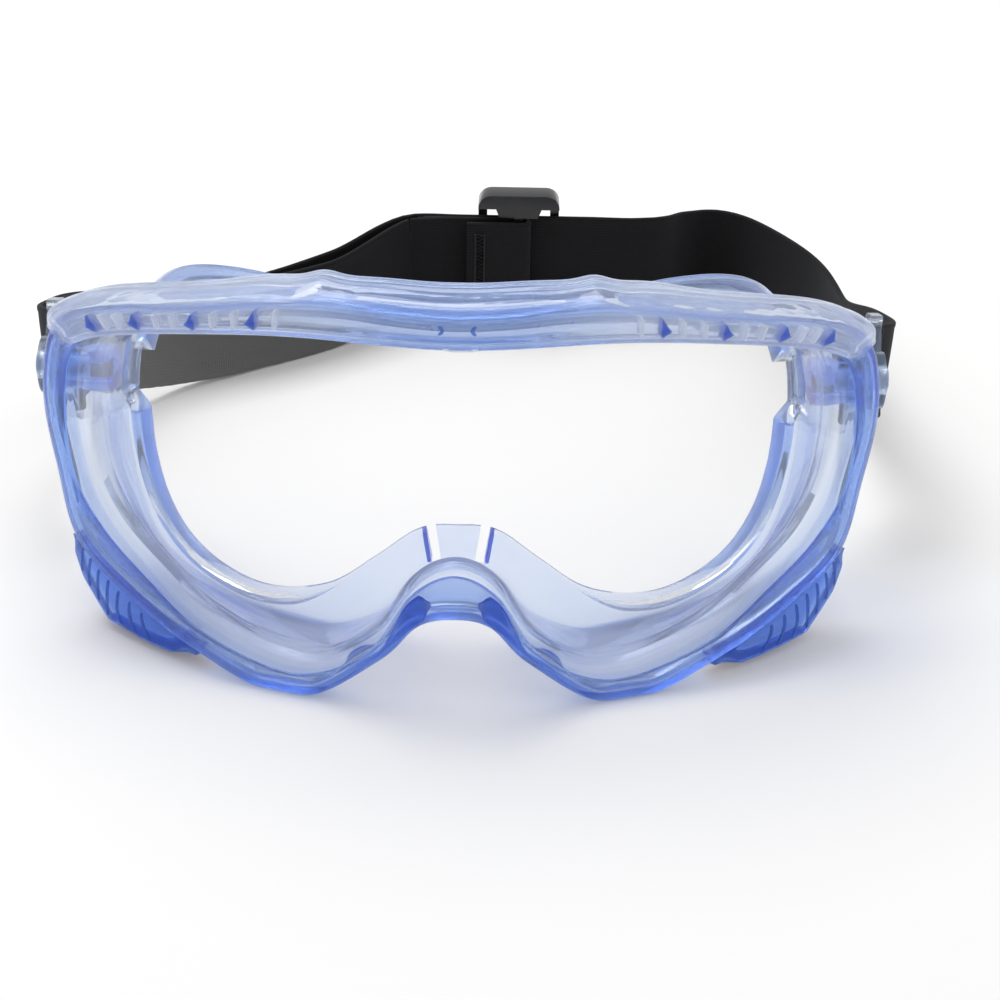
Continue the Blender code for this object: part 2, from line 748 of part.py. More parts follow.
def make_headband(material, thread, parts, swing):
    """Elastic webbing from its sewn right end, round the head and back to the slider."""
    whole, sewn = headband_paths()
    make_ribbon("headband", whole, BAND_WIDTH, BAND_THICKNESS, material, parts, swing)
    last_step = (sewn[-2] - sewn[-1]).length
    tack = [
        sewn[-1].lerp(sewn[-2], distance / last_step)
        for distance in (TACK_FROM_END, TACK_FROM_END + TACK_LENGTH)
    ]
    shift = -(BAND_THICKNESS / 2 + FIT_GAP + TACK_THICKNESS / 2)
    make_ribbon(
        "band_tack_right", tack, TACK_WIDTH, TACK_THICKNESS, thread, parts, swing, shift
    )


def make_end_loop(material, thread, parts, slide):
    """Sewn end of the webbing, looped round the slider's middle bar."""
    radius = SLIDER_BAR_MIDDLE / 2 + SLIDER_GAP + BAND_THICKNESS / 2
    inner = SLIDER_DEPTH - BAND_LAYER_STEP
    centre_y = inner - radius
    path = [Vector((SLIDER_X - LOOP_TAIL, inner)), Vector((SLIDER_X - LOOP_TAIL / 2, inner))]
    for k in range(9):
        angle = pi / 2 - pi * k / 8
        across = SLIDER_X + LOOP_SLACK + radius * cos(angle)
        path.append(Vector((across, centre_y + radius * sin(angle))))
    path.append(Vector((SLIDER_X - LOOP_RETURN / 2, centre_y - radius)))
    path.append(Vector((SLIDER_X - LOOP_RETURN, centre_y - radius)))
    make_ribbon("band_end_loop", path, BAND_WIDTH, BAND_THICKNESS, material, parts, slide)
    tack_x = SLIDER_X - LOOP_RETURN + TACK_LENGTH * 2
    tack = [Vector((tack_x, centre_y - radius)), Vector((tack_x - TACK_LENGTH, centre_y - radius))]
    shift = BAND_THICKNESS / 2 + FIT_GAP + TACK_THICKNESS / 2
    make_ribbon("band_tack_slider", tack, TACK_WIDTH, TACK_THICKNESS, thread, parts, slide, shift)


def make_slider(material, parts, cutters, slide):
    """Three-bar slider that sets the length of the headband."""
    inner = SLIDER_DEPTH - BAND_LAYER_STEP
    bar_back = inner - BAND_THICKNESS / 2 - SLIDER_GAP
    bar_front = bar_back - SLIDER_BAR_MIDDLE
    side_front = SLIDER_DEPTH + BAND_THICKNESS / 2 + SLIDER_GAP
    side_back = side_front + SLIDER_BAR_BACK
    depth = side_back - bar_front
    middle_y = (side_back + bar_front) / 2 + DEPTH_SHIFT
    half = SLIDER_HEIGHT / 2
    body = add_box(Vector((SLIDER_X, middle_y, half)), (SLIDER_WIDTH, depth, SLIDER_HEIGHT))
    slider = add_object("headband_slider", body, material, parts, slide)
    window = add_box(
        Vector((SLIDER_X, middle_y, half)),
        (SLIDER_WIDTH + 4, depth + 4, SLIDER_HEIGHT - 2 * SLIDER_RAIL),
    )
    add_boolean(slider, as_cutter(add_object("slider_window", window, material, cutters)))
    bars = [
        ("slider_bar_left", -(SLIDER_WIDTH - SLIDER_BAR) / 2, side_front, side_back),
        ("slider_bar_right", (SLIDER_WIDTH - SLIDER_BAR) / 2, side_front, side_back),
        ("slider_bar_middle", 0.0, bar_front, bar_back),
    ]
    for name, x, front, back in bars:
        centre = Vector((SLIDER_X + x, (front + back) / 2 + DEPTH_SHIFT, half))
        bar = add_box(centre, (SLIDER_BAR - 0.2, back - front - 0.02, SLIDER_HEIGHT - 2))
        bar = as_cutter(add_object(name, bar, material, cutters))
        add_boolean(slider, bar, "UNION")
    return slider


def build():
    """Assemble the goggles."""
    clear_scene()
    parts = new_collection("safety_goggles")
    cutters = new_collection("cutters")
    materials = {name: make_material(name) for name in MATERIALS}
    swing = add_empty("headband_swing_axis", 0, PIVOT_DEPTH, PIVOT_HEIGHT, parts)
    slide = add_empty(
        "slider_slide_axis", SLIDER_X, SLIDER_DEPTH, SLIDER_HEIGHT / 2, parts
    )

    make_frame(materials["blue_pvc"], parts, cutters)
    make_lens(materials["clear_lens"], parts)
    make_brow_cover(materials["blue_pvc"], parts)
    for side, label in ((-1, "left"), (1, "right")):
        make_vent_cover(side, label, materials["blue_pvc"], parts, cutters)
        make_clip(side, label, materials["clear_clip"], parts, cutters, swing)
        make_pivot(side, label, materials["pivot_nylon"], parts)
    make_headband(materials["black_webbing"], materials["black_thread"], parts, swing)
    make_end_loop(materials["black_webbing"], materials["black_thread"], parts, slide)
    make_slider(materials["black_plastic"], parts, cutters, slide)


build()
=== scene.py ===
"""Wide-vision safety goggles: the visual model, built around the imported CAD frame.

X runs across the face, +Y from the lens to the back of the headband, +Z up. Shapes are
built in millimetres, in the CAD's own frame, and scaled to metres by MM.
"""

from math import asin, atan, cos, exp, log, pi, radians, sin, sqrt, tan

import bmesh
import bpy
from mathutils import Matrix, Vector


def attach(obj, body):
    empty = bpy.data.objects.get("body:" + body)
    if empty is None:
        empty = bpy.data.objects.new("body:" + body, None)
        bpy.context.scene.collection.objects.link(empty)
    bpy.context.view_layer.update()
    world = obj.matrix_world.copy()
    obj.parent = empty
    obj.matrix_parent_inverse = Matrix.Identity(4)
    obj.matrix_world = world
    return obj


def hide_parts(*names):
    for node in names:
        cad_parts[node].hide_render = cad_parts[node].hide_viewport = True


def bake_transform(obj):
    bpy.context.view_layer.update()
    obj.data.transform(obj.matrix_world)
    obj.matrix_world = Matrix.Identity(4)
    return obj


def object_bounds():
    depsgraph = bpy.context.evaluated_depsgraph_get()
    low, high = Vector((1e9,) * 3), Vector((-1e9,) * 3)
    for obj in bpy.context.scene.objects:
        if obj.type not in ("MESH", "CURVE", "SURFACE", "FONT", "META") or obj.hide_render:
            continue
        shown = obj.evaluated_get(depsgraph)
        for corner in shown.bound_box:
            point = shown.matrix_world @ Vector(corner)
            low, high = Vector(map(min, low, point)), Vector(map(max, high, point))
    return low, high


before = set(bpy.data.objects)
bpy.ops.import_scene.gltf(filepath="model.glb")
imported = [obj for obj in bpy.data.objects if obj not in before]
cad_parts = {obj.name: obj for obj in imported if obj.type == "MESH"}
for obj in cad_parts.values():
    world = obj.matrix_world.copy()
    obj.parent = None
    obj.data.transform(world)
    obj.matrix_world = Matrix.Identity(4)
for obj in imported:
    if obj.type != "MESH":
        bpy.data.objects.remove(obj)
CAD_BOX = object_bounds()

MM = 0.001
DEPTH_SHIFT = -101.256

# The lens and the seal lie on two upright cylinders that lean back.
LENS_RADIUS = 114.0
LENS_LEAN = radians(9.0)
LENS_FRONT = -4.1
LENS_THICKNESS = 2.0
LENS_CENTRE = Vector((0.0, 44.0))
LENS_EDGE_INSET = 2.6
SEAL_RADIUS = 90.0
SEAL_FRONT = 23.0
SEAL_LEAN = 0.16

# Half outlines seen from the front, as (x, z), from the top centre round to the nose.
LENS_OPENING = [
    (0, 73.2), (28, 73.5), (49, 70.5), (67, 65), (76.5, 58), (79.3, 45), (77.8, 32),
    (72, 24), (62, 17), (50, 9.5), (31, 5.3), (17, 12), (8.5, 24.5), (0, 28.9),
]
RIM = [
    (0, 79), (28, 80), (50, 75.4), (71, 69.3), (82, 61), (85.3, 46), (82.6, 31),
    (78.6, 18), (68, 11), (53, 4.5), (32, -1.0), (14.5, 9.5), (7, 17.3), (0, 19),
]
SEAL_FOLD = [
    (0, 68), (25, 71.8), (44, 72.7), (58, 69), (66.8, 60), (72, 45), (73.5, 28),
    (71, 15), (64, 5), (48, 0.8), (30, -0.6), (15, 5), (7.5, 13.5), (0, 16.5),
]
SEAL_EDGE = [
    (0, 60), (22, 65), (41, 66.5), (54, 63), (62, 55), (66, 43), (66, 27),
    (62, 15), (54, 8), (41, 5.3), (27, 9), (17, 16.5), (8, 23.4), (0, 24.5),
]
NOSE = 13
SIDES = ((-1, "left"), (1, "right"))


# ---- small helpers

def smooth(low, high, value):
    """Smooth step from 0 at low to 1 at high."""
    share = min(max((value - low) / (high - low), 0.0), 1.0)
    return share * share * (3 - 2 * share)


def catmull_rom(before, start, end, after, t):
    """Point between start and end, at a share t of the way, on a smooth curve."""
    return 0.5 * (
        2 * start
        + (end - before) * t
        + (2 * before - 5 * start + 4 * end - after) * t * t
        + (3 * start - before - 3 * end + after) * t ** 3
    )


def outline_at(outline, place):
    """Point of a half outline at a fractional index, on a smooth curve."""
    last = len(outline) - 1
    index = min(int(place), last - 1)

    def control(k):
        if k < 0:
            return Vector((-outline[-k][0], outline[-k][1]))
        if k > last:
            return Vector((-outline[2 * last - k][0], outline[2 * last - k][1]))
        return Vector(outline[k])

    return catmull_rom(*(control(index + k) for k in (-1, 0, 1, 2)), place - index)


def rim_at(place):
    """Point of the rim outline, flattened where the lower lobe stands on a surface."""
    point = outline_at(RIM, place)
    return Vector((point.x, max(point.y, 0.0)))


def toward(start, end, distance):
    """Move from one point toward another by a distance in millimetres."""
    step = end - start
    return start + step * (distance / step.length)


def on_lens(point, depth):
    """Lift an outline point to the lens cylinder, depth behind its front face."""
    x, z = point
    z = max(z, 0.0)
    angle = asin(x / LENS_RADIUS)
    y = LENS_FRONT + z * tan(LENS_LEAN) + LENS_RADIUS - (LENS_RADIUS - depth) * cos(angle)
    return Vector(((LENS_RADIUS - depth) * sin(angle), y + DEPTH_SHIFT, z))


def on_seal(point, depth):
    """Lift an outline point to the face side of the seal."""
    x, z = point
    z = max(z, 0.0)
    y = SEAL_FRONT + z * SEAL_LEAN + SEAL_RADIUS - sqrt(SEAL_RADIUS ** 2 - x * x) + depth
    return Vector((x, y + DEPTH_SHIFT, z))


def spread(first, last, step, extra=()):
    """Places from first to last about every step, with extra ones put in."""
    count = max(1, round((last - first) / step))
    places = [first + (last - first) * k / count for k in range(count + 1)]
    return sorted(set(round(place, 4) for place in places + list(extra)))


def on_side(side, points):
    """The same points on one half: -1 mirrors them to the left."""
    return [Vector((side * point.x, point.y, point.z)) for point in points]


def full_loop(places, section_at):
    """Sections all round the goggles, right half first, as a closed ring."""
    right = [section_at(place) for place in places]
    return right + [on_side(-1, section) for section in right[-2:0:-1]]


def full_span(places, section_at):
    """Sections from the left end over the top centre to the right end."""
    right = [section_at(place) for place in places]
    return [on_side(-1, section) for section in right[:0:-1]] + right


def loft(builder, rows, around=False, across=False):
    """Join rows of points into quads; around closes the rows, across each row."""
    grid = [[builder.verts.new(point) for point in row] for row in rows]
    width = len(grid[0])
    pairs = list(zip(grid, grid[1:])) + ([(grid[-1], grid[0])] if around else [])
    for first, second in pairs:
        for k in range(width if across else width - 1):
            after = (k + 1) % width
            builder.faces.new((first[k], second[k], second[after], first[after]))
    return grid


def solid_loft(builder, rows):
    """Join closed sections and cover both ends."""
    grid = loft(builder, rows, across=True)
    builder.faces.new(grid[0])
    builder.faces.new(grid[-1])


def heading(points, k):
    """Direction of a line of points at one of them."""
    return (points[min(k + 1, len(points) - 1)] - points[max(k - 1, 0)]).normalized()


def tube(builder, points, radius, sides=6):
    """Closed round thread along points."""
    spare = Vector((0.3, 0.9, 0.2))
    rings = []
    for k, point in enumerate(points):
        ahead = heading(points, k)
        first = ahead.cross(spare).normalized()
        second = ahead.cross(first)
        size = radius * (0.6 if k in (0, len(points) - 1) else 1.0)
        rings.append([
            point + (first * cos(2 * pi * j / sides) + second * sin(2 * pi * j / sides)) * size
            for j in range(sides)
        ])
    solid_loft(builder, rings)


def inner_side(rows, thickness, around):
    """Offset each point of a grid along its normal by its own wall thickness."""
    moved = []
    count = len(rows)
    for i, row in enumerate(rows):
        ahead = rows[(i + 1) % count] if around else rows[min(i + 1, count - 1)]
        behind = rows[i - 1] if around else rows[max(i - 1, 0)]
        line = []
        for k, point in enumerate(row):
            along = (ahead[k] - behind[k]).normalized()
            near = row[max(k - 1, 0):k + 2]
            steps = [(end - start).normalized() for start, end in zip(near, near[1:])]
            across = sum(steps, Vector()).normalized()
            normal = across.cross(along).normalized()
            widen = 1.0
            if len(steps) == 2:
                widen = 1 / max(sqrt(max((1 + steps[0].dot(steps[1])) / 2, 0.0)), 0.6)
            line.append(point + normal * thickness[i][k] * widen)
        moved.append(line)
    return moved


def add_object(name, data):
    """Put new data in the scene as an object."""
    thing = bpy.data.objects.new(name, data)
    bpy.context.scene.collection.objects.link(thing)
    return thing


def shade(mesh, sharp):
    """Shade smoothly, apart from edges sharper than an angle in degrees."""
    mesh.shade_smooth()
    mesh.set_sharp_from_angle(angle=radians(sharp))


def finish_mesh(name, builder, material, sharp=40):
    """Turn a bmesh in millimetres into an object with smooth shading."""
    bmesh.ops.recalc_face_normals(builder, faces=builder.faces)
    bmesh.ops.transform(builder, matrix=Matrix.Scale(MM, 4), verts=builder.verts)
    mesh = bpy.data.meshes.new(name)
    builder.to_mesh(mesh)
    builder.free()
    shade(mesh, sharp)
    mesh.materials.append(material)
    return add_object(name, mesh)


def solid_piece(name, rows, material, sharp=40):
    """Object made of closed sections with both ends covered."""
    builder = bmesh.new()
    solid_loft(builder, rows)
    return finish_mesh(name, builder, material, sharp)


def subdivide(thing):
    """Round a piece with one level of subdivision."""
    step = thing.modifiers.new("round", "SUBSURF")
    step.levels = step.render_levels = 1
    return thing


def bevel(thing, width, segments, angle=35):
    """Round the hard edges of a piece; width is in millimetres."""
    step = thing.modifiers.new("edges", "BEVEL")
    step.width = width * MM
    step.segments = segments
    step.limit_method = "ANGLE"
    step.angle_limit = radians(angle)
    return thing


def cut(thing, cutter, operation="DIFFERENCE"):
    """Cut or join another object, which settle() removes afterwards."""
    step = thing.modifiers.new("cut", "BOOLEAN")
    step.operation = operation
    step.solver = "EXACT"
    step.object = cutter


def settle(thing, *cutters):
    """Apply every modifier, and remove the tools that were used."""
    bpy.context.view_layer.update()
    graph = bpy.context.evaluated_depsgraph_get()
    mesh = bpy.data.meshes.new_from_object(thing.evaluated_get(graph))
    thing.modifiers.clear()
    thing.data = mesh
    shade(mesh, 40)
    for cutter in cutters:
        bpy.data.objects.remove(cutter)
    return thing


def box_mesh(builder, centre, size, lean=0.0):
    """Add a box in millimetres, leaning about Y, to a bmesh."""
    turn = Matrix.Translation(centre) @ Matrix.Rotation(lean, 4, "Y")
    bmesh.ops.create_cube(builder, size=1.0, matrix=turn @ Matrix.Diagonal((*size, 1.0)))


def rounded_rectangle(left, right, low, high, radius):
    """Outline of a rectangle with round corners."""
    left, right = left + radius, right - radius
    low, high = low + radius, high - radius
    outline = []
    for x, z, quarter in ((right, low, -1), (right, high, 0), (left, high, 1), (left, low, 2)):
        for k in range(7):
            angle = (quarter + k / 6) * pi / 2
            outline.append((x + radius * cos(angle), z + radius * sin(angle)))
    return outline


# ---- materials

class Nodes:
    """Shorthand for building one node tree."""

    def __init__(self, name):
        self.material = bpy.data.materials.new(name)
        self.material.use_nodes = True
        self.tree = self.material.node_tree
        self.tree.nodes.clear()

    def add(self, kind, values=None, **settings):
        node = self.tree.nodes.new(kind)
        for key, value in settings.items():
            setattr(node, key, value)
        for key, value in (values or {}).items():
            node.inputs[key].default_value = value
        return node

    def link(self, source, target):
        self.tree.links.new(source, target)

    def coordinates(self):
        return self.add("ShaderNodeTexCoord").outputs["Object"]

    def noise(self, scale, detail=3.0, rough=0.5, stretch=None, distortion=0.0):
        values = {"Scale": scale, "Detail": detail, "Roughness": rough, "Distortion": distortion}
        node = self.add("ShaderNodeTexNoise", values)
        source = self.coordinates()
        self.link(self.scaled(source, stretch) if stretch else source, node.inputs["Vector"])
        return node.outputs["Fac"]

    def scaled(self, source, scale):
        mapping = self.add("ShaderNodeMapping", {"Scale": scale})
        self.link(source, mapping.inputs["Vector"])
        return mapping.outputs["Vector"]

    def ranged(self, source, low, high, start=0.3, end=0.7):
        values = {"From Min": start, "From Max": end, "To Min": low, "To Max": high}
        node = self.add("ShaderNodeMapRange", values)
        self.link(source, node.inputs["Value"])
        return node.outputs["Result"]

    def bump(self, height, strength, distance, normal=None):
        node = self.add("ShaderNodeBump", {"Strength": strength, "Distance": distance})
        self.link(height, node.inputs["Height"])
        if normal:
            self.link(normal, node.inputs["Normal"])
        return node.outputs["Normal"]

    def toned(self, share, first, second, *targets):
        """Feed colour sockets with two colours mixed by a share."""
        tone = self.add("ShaderNodeMix", data_type="RGBA")
        tone.inputs[6].default_value = (*first, 1)
        tone.inputs[7].default_value = (*second, 1)
        self.link(share, tone.inputs[0])
        for target in targets:
            self.link(tone.outputs[2], target)

    def mixed(self, share, first, second):
        """Mix two shaders by a number or by a socket."""
        node = self.add("ShaderNodeMixShader")
        if isinstance(share, float):
            node.inputs[0].default_value = share
        else:
            self.link(share, node.inputs[0])
        self.link(first, node.inputs[1])
        self.link(second, node.inputs[2])
        return node.outputs[0]

    def finish(self, shader, normal):
        """Give a shader its bumps and make it the material's surface."""
        self.link(normal, shader.inputs["Normal"])
        return self.output(shader.outputs[0])

    def output(self, surface, volume=None):
        node = self.add("ShaderNodeOutputMaterial")
        self.link(surface, node.inputs["Surface"])
        if volume:
            self.link(volume, node.inputs["Volume"])
        return self.material


def clear_plastic(
    name, tint, density, shadow, roughness=(0.0, 0.035), ripple=0.25, ior=1.42, milk=0.1,
    milk_tint=(0.62, 0.76, 0.98), straight=0.15, streaks=0.0, centre_tint=None,
):
    """Clear moulded plastic: the colour deepens with the thickness that light crosses.

    milk is the share of haze, and straight the share of light that isn't bent. Shadow
    and diffuse rays see a plain tint, so that the floor gets no blue glow.
    """
    nodes = Nodes(name)
    shader = nodes.add("ShaderNodeBsdfPrincipled", {
        "Base Color": (1, 1, 1, 1), "IOR": ior, "Transmission Weight": 1.0,
    })
    worn = nodes.noise(90.0, detail=5.0)
    nodes.link(nodes.ranged(worn, *roughness), shader.inputs["Roughness"])
    swirl = nodes.noise(55.0, detail=2.0, distortion=0.6)
    grain = nodes.noise(900.0, detail=2.0)
    normal = nodes.bump(swirl, ripple, 0.0006)
    normal = nodes.bump(grain, ripple * 0.3, 0.00004, normal)
    if streaks:
        flow = nodes.noise(260.0, detail=1.0, stretch=(0.06, 1.0, 1.0), distortion=0.3)
        normal = nodes.bump(flow, streaks, 0.0005, normal)
    nodes.link(normal, shader.inputs["Normal"])
    surface = shader.outputs[0]
    if milk:
        glow = nodes.add("ShaderNodeBsdfTranslucent", {"Color": (*milk_tint, 1)})
        chalk = nodes.add("ShaderNodeBsdfDiffuse", {"Color": (*milk_tint, 1)})
        if centre_tint:
            across = nodes.add("ShaderNodeSeparateXYZ")
            nodes.link(nodes.coordinates(), across.inputs[0])
            away = nodes.add("ShaderNodeMath", operation="ABSOLUTE")
            nodes.link(across.outputs[0], away.inputs[0])
            share = nodes.ranged(away.outputs[0], 0, 1, 0.012, 0.034)
            nodes.toned(share, centre_tint, milk_tint, glow.inputs[0], chalk.inputs[0])
        haze = nodes.mixed(0.5, glow.outputs[0], chalk.outputs[0])
        surface = nodes.mixed(milk, surface, haze)
    if straight:
        clear = nodes.add("ShaderNodeBsdfTransparent")
        surface = nodes.mixed(straight, surface, clear.outputs[0])
    through = nodes.add("ShaderNodeBsdfTransparent", {"Color": (*shadow, 1)})
    path = nodes.add("ShaderNodeLightPath")
    for ray in ("Is Shadow Ray", "Is Diffuse Ray"):
        surface = nodes.mixed(path.outputs[ray], surface, through.outputs[0])
    volume = None
    if density:
        values = {"Color": (*tint, 1), "Density": density}
        volume = nodes.add("ShaderNodeVolumeAbsorption", values).outputs[0]
    return nodes.output(surface, volume)


def webbing_material():
    """Black knitted elastic: lengthwise ribs, cross rows and fine fibres."""
    nodes = Nodes("black_webbing")
    shader = nodes.add("ShaderNodeBsdfPrincipled", {
        "Roughness": 0.85, "Specular IOR Level": 0.25, "Sheen Weight": 0.12,
        "Sheen Roughness": 0.5, "Sheen Tint": (0.4, 0.42, 0.46, 1),
    })
    uv = nodes.add("ShaderNodeUVMap", uv_map="weave").outputs["UV"]
    weave = nodes.add("ShaderNodeMath", operation="MULTIPLY")
    for k, (direction, scale, distortion) in enumerate((
        ("Y", (1.0, 400.0, 1.0), 0.25), ("X", (520.0, 1.0, 1.0), 0.4),
    )):
        values = {"Scale": 1.0, "Distortion": distortion, "Detail": 1.0}
        wave = nodes.add("ShaderNodeTexWave", values, bands_direction=direction)
        nodes.link(nodes.scaled(uv, scale), wave.inputs["Vector"])
        nodes.link(wave.outputs["Fac"], weave.inputs[k])
    fibres = nodes.noise(2600.0, detail=3.0)
    nodes.toned(weave.outputs[0], (0.003, 0.003, 0.004), (0.011, 0.011, 0.013), shader.inputs[0])
    normal = nodes.bump(weave.outputs[0], 0.2, 0.00012)
    return nodes.finish(shader, nodes.bump(fibres, 0.35, 0.00008, normal))


def black_moulding():
    """Black moulded nylon with a fine satin grain."""
    nodes = Nodes("black_plastic")
    shader = nodes.add("ShaderNodeBsdfPrincipled", {"IOR": 1.5})
    grain = nodes.noise(1800.0, detail=3.0)
    cloud = nodes.noise(140.0, detail=4.0)
    nodes.toned(cloud, (0.004, 0.004, 0.005), (0.010, 0.010, 0.012), shader.inputs[0])
    nodes.link(nodes.ranged(cloud, 0.16, 0.28), shader.inputs["Roughness"])
    return nodes.finish(shader, nodes.bump(grain, 0.25, 0.00005))


def thread_material():
    """Black twisted thread."""
    nodes = Nodes("black_thread")
    shader = nodes.add("ShaderNodeBsdfPrincipled", {
        "Roughness": 0.6, "Sheen Weight": 0.1, "Sheen Roughness": 0.4,
    })
    twist = nodes.noise(4200.0, detail=2.0, stretch=(1.0, 1.0, 0.3))
    nodes.toned(twist, (0.006, 0.006, 0.007), (0.02, 0.02, 0.022), shader.inputs[0])
    return nodes.finish(shader, nodes.bump(twist, 0.4, 0.00008))


def floor_material():
    """Matt white paper."""
    nodes = Nodes("white_paper")
    shader = nodes.add("ShaderNodeBsdfPrincipled", {"Roughness": 0.7})
    cloud = nodes.noise(6.0, detail=4.0)
    nodes.toned(cloud, (0.90, 0.895, 0.89), (0.93, 0.928, 0.926), shader.inputs[0])
    fibre = nodes.noise(420.0, detail=4.0)
    return nodes.finish(shader, nodes.bump(fibre, 0.1, 0.0001))


BLUE = clear_plastic(
    "blue_pvc", (0.12, 0.44, 0.94), 275.0, (0.96, 0.91, 0.87),
    milk=0.05, milk_tint=(0.76, 0.84, 1.0), straight=0.18,
)
BROW = clear_plastic(
    "brow_pvc", (0.20, 0.45, 0.93), 90.0, (0.95, 0.94, 0.94), roughness=(0.0, 0.03), milk=0.26,
    milk_tint=(0.82, 0.89, 1.0), straight=0.12, streaks=0.2, centre_tint=(0.36, 0.55, 0.98),
)
DEEP_BLUE = clear_plastic(
    "deep_blue_pvc", (0.10, 0.42, 0.95), 240.0, (0.85, 0.70, 0.52),
    milk=0.15, milk_tint=(0.12, 0.42, 1.0), straight=0.08,
)
GUSSET = clear_plastic(
    "gusset_pvc", (0.08, 0.36, 0.95), 850.0, (0.9, 0.8, 0.7),
    milk=0.3, milk_tint=(0.05, 0.24, 0.95), straight=0.05,
)
RIB = clear_plastic(
    "rib_pvc", (0.05, 0.25, 0.90), 900.0, (0.85, 0.8, 0.7),
    roughness=(0.02, 0.07), milk=0.4, milk_tint=(0.08, 0.25, 0.85),
)
# The posts' pale white haze is a painted highlight: it stands in for the white sparkle along the
# brow's windows.
POST_WITH_PAINTED_HIGHLIGHT = clear_plastic(
    "post_pvc_painted_highlight", (0.30, 0.55, 0.95), 60.0, (0.95, 0.95, 0.96),
    roughness=(0.0, 0.05), milk=0.45, milk_tint=(0.93, 0.96, 1.0), straight=0.05,
)
GLASS = (0.55, 0.62, 0.70), 6.0, (0.97, 0.975, 0.98)
LENS = clear_plastic(
    "clear_lens", *GLASS, roughness=(0.0, 0.02), ripple=0.03, ior=1.49, milk=0.0, straight=0.0
)
LENS_EDGE = clear_plastic(
    "lens_edge", *GLASS, roughness=(0.25, 0.4), ripple=0.1, milk=0.35, milk_tint=(0.8, 0.88, 1.0)
)
CLIP = clear_plastic(
    "clear_clip", (0.30, 0.55, 0.85), 45.0, (0.9, 0.93, 0.97), roughness=(0.05, 0.14)
)
PIN = clear_plastic(
    "pivot_nylon", (0.35, 0.55, 0.85), 60.0, (0.85, 0.9, 0.96), roughness=(0.15, 0.3)
)
WEBBING = webbing_material()
MOULDED = black_moulding()
THREAD = thread_material()


def keep(thing, body, slot, *nodes):
    """Make a piece ride on its body and stand for its CAD nodes."""
    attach(thing, body)
    if nodes:
        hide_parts(*nodes)


# ---- face frame

WALL = 1.1
RIM_BACK = 4.1
NOTCH_FROM = 4.74
NOTCH_TO = 5.50
NOTCH_ROUND = 0.045
NOTCH_SHARE = 0.50
LIP_HEIGHT = 3.4
FRAME_STEP = 0.125
CHANNEL_DEPTH = 1.4
RIM_WALL = 2.0
SLIT_LEAN = radians(9)
BORE_RADIUS = 2.3


def notch_at(place):
    """How far the seal's edge steps out for a spectacle arm, from 0 to 1."""
    return (
        smooth(NOTCH_FROM - NOTCH_ROUND, NOTCH_FROM + NOTCH_ROUND, place)
        - smooth(NOTCH_TO - NOTCH_ROUND, NOTCH_TO + NOTCH_ROUND, place)
    )


def channel_at(place):
    """Depth of the channel in the rim's front; it fades out beside the lens."""
    return CHANNEL_DEPTH * (1 - smooth(3.4, 4.0, place))


def frame_outer(place):
    """Outside of the wall, from the lens lip over the rim and skirt to the seal edge."""
    opening = outline_at(LENS_OPENING, place)
    rim = rim_at(place)
    fold = outline_at(SEAL_FOLD, place)
    edge = outline_at(SEAL_EDGE, place)
    edge = edge.lerp(fold, NOTCH_SHARE * notch_at(place))
    throat = on_lens(opening.lerp(rim, 0.14), RIM_BACK + 2.8)
    front = on_seal(fold, -3.2)
    sunk = channel_at(place)
    points = [
        on_lens(opening, -1.5),
        on_lens(toward(opening, rim, 0.5), -2.0),
        on_lens(opening.lerp(rim, 0.45), -2.2 + sunk),
    ]
    for distance, depth in (
        (2.0, -2.1 + sunk), (0.9, -1.8 + sunk), (0.2, -1.0 + sunk * 0.5), (0, 0), (0, 1.2),
        (0.25, 1.7), (0.25, 2.3), (0, 2.8), (0.1, RIM_BACK - 0.4), (0.7, RIM_BACK + 0.3),
    ):
        points.append(on_lens(toward(rim, opening, distance), depth))
    points += [
        on_lens(opening.lerp(rim, 0.42), RIM_BACK + 0.4),
        on_lens(opening.lerp(rim, 0.24), RIM_BACK + 0.9),
        throat,
        throat.lerp(front, 0.33),
        throat.lerp(front, 0.66),
        front,
    ]
    for distance, depth in ((0.25, -1.7), (0.9, -0.6), (2.0, 0.0)):
        points.append(on_seal(toward(fold, edge, distance), depth))
    points.append(on_seal(fold.lerp(edge, 0.55), 0.3))
    for distance, depth in ((2.0, 0.3), (1.7, 0.3), (0.3, 0.2), (0, -0.2)):
        points.append(on_seal(toward(edge, fold, distance), depth))
    return points


def frame_thickness(place):
    """Wall thickness at each point of frame_outer."""
    wall = [WALL] * len(frame_outer(place))
    wall[:2] = [1.2, 1.5]
    sunk = channel_at(place)
    lobe = smooth(9.2, 9.9, place) * (1 - smooth(12.3, 12.9, place))
    wall[2:6] = [RIM_WALL - sunk] * 4
    wall[6:9] = [RIM_WALL + 0.5 * lobe] * 3
    wall[9:13] = [RIM_WALL + 0.3 * lobe] * 4
    # The bead along the seal's inner edge fades out at the nose.
    lip = WALL + LIP_HEIGHT * (1 - smooth(9.4, 10.4, place))
    wall[-3:] = [lip, lip, lip - 0.5]
    return wall


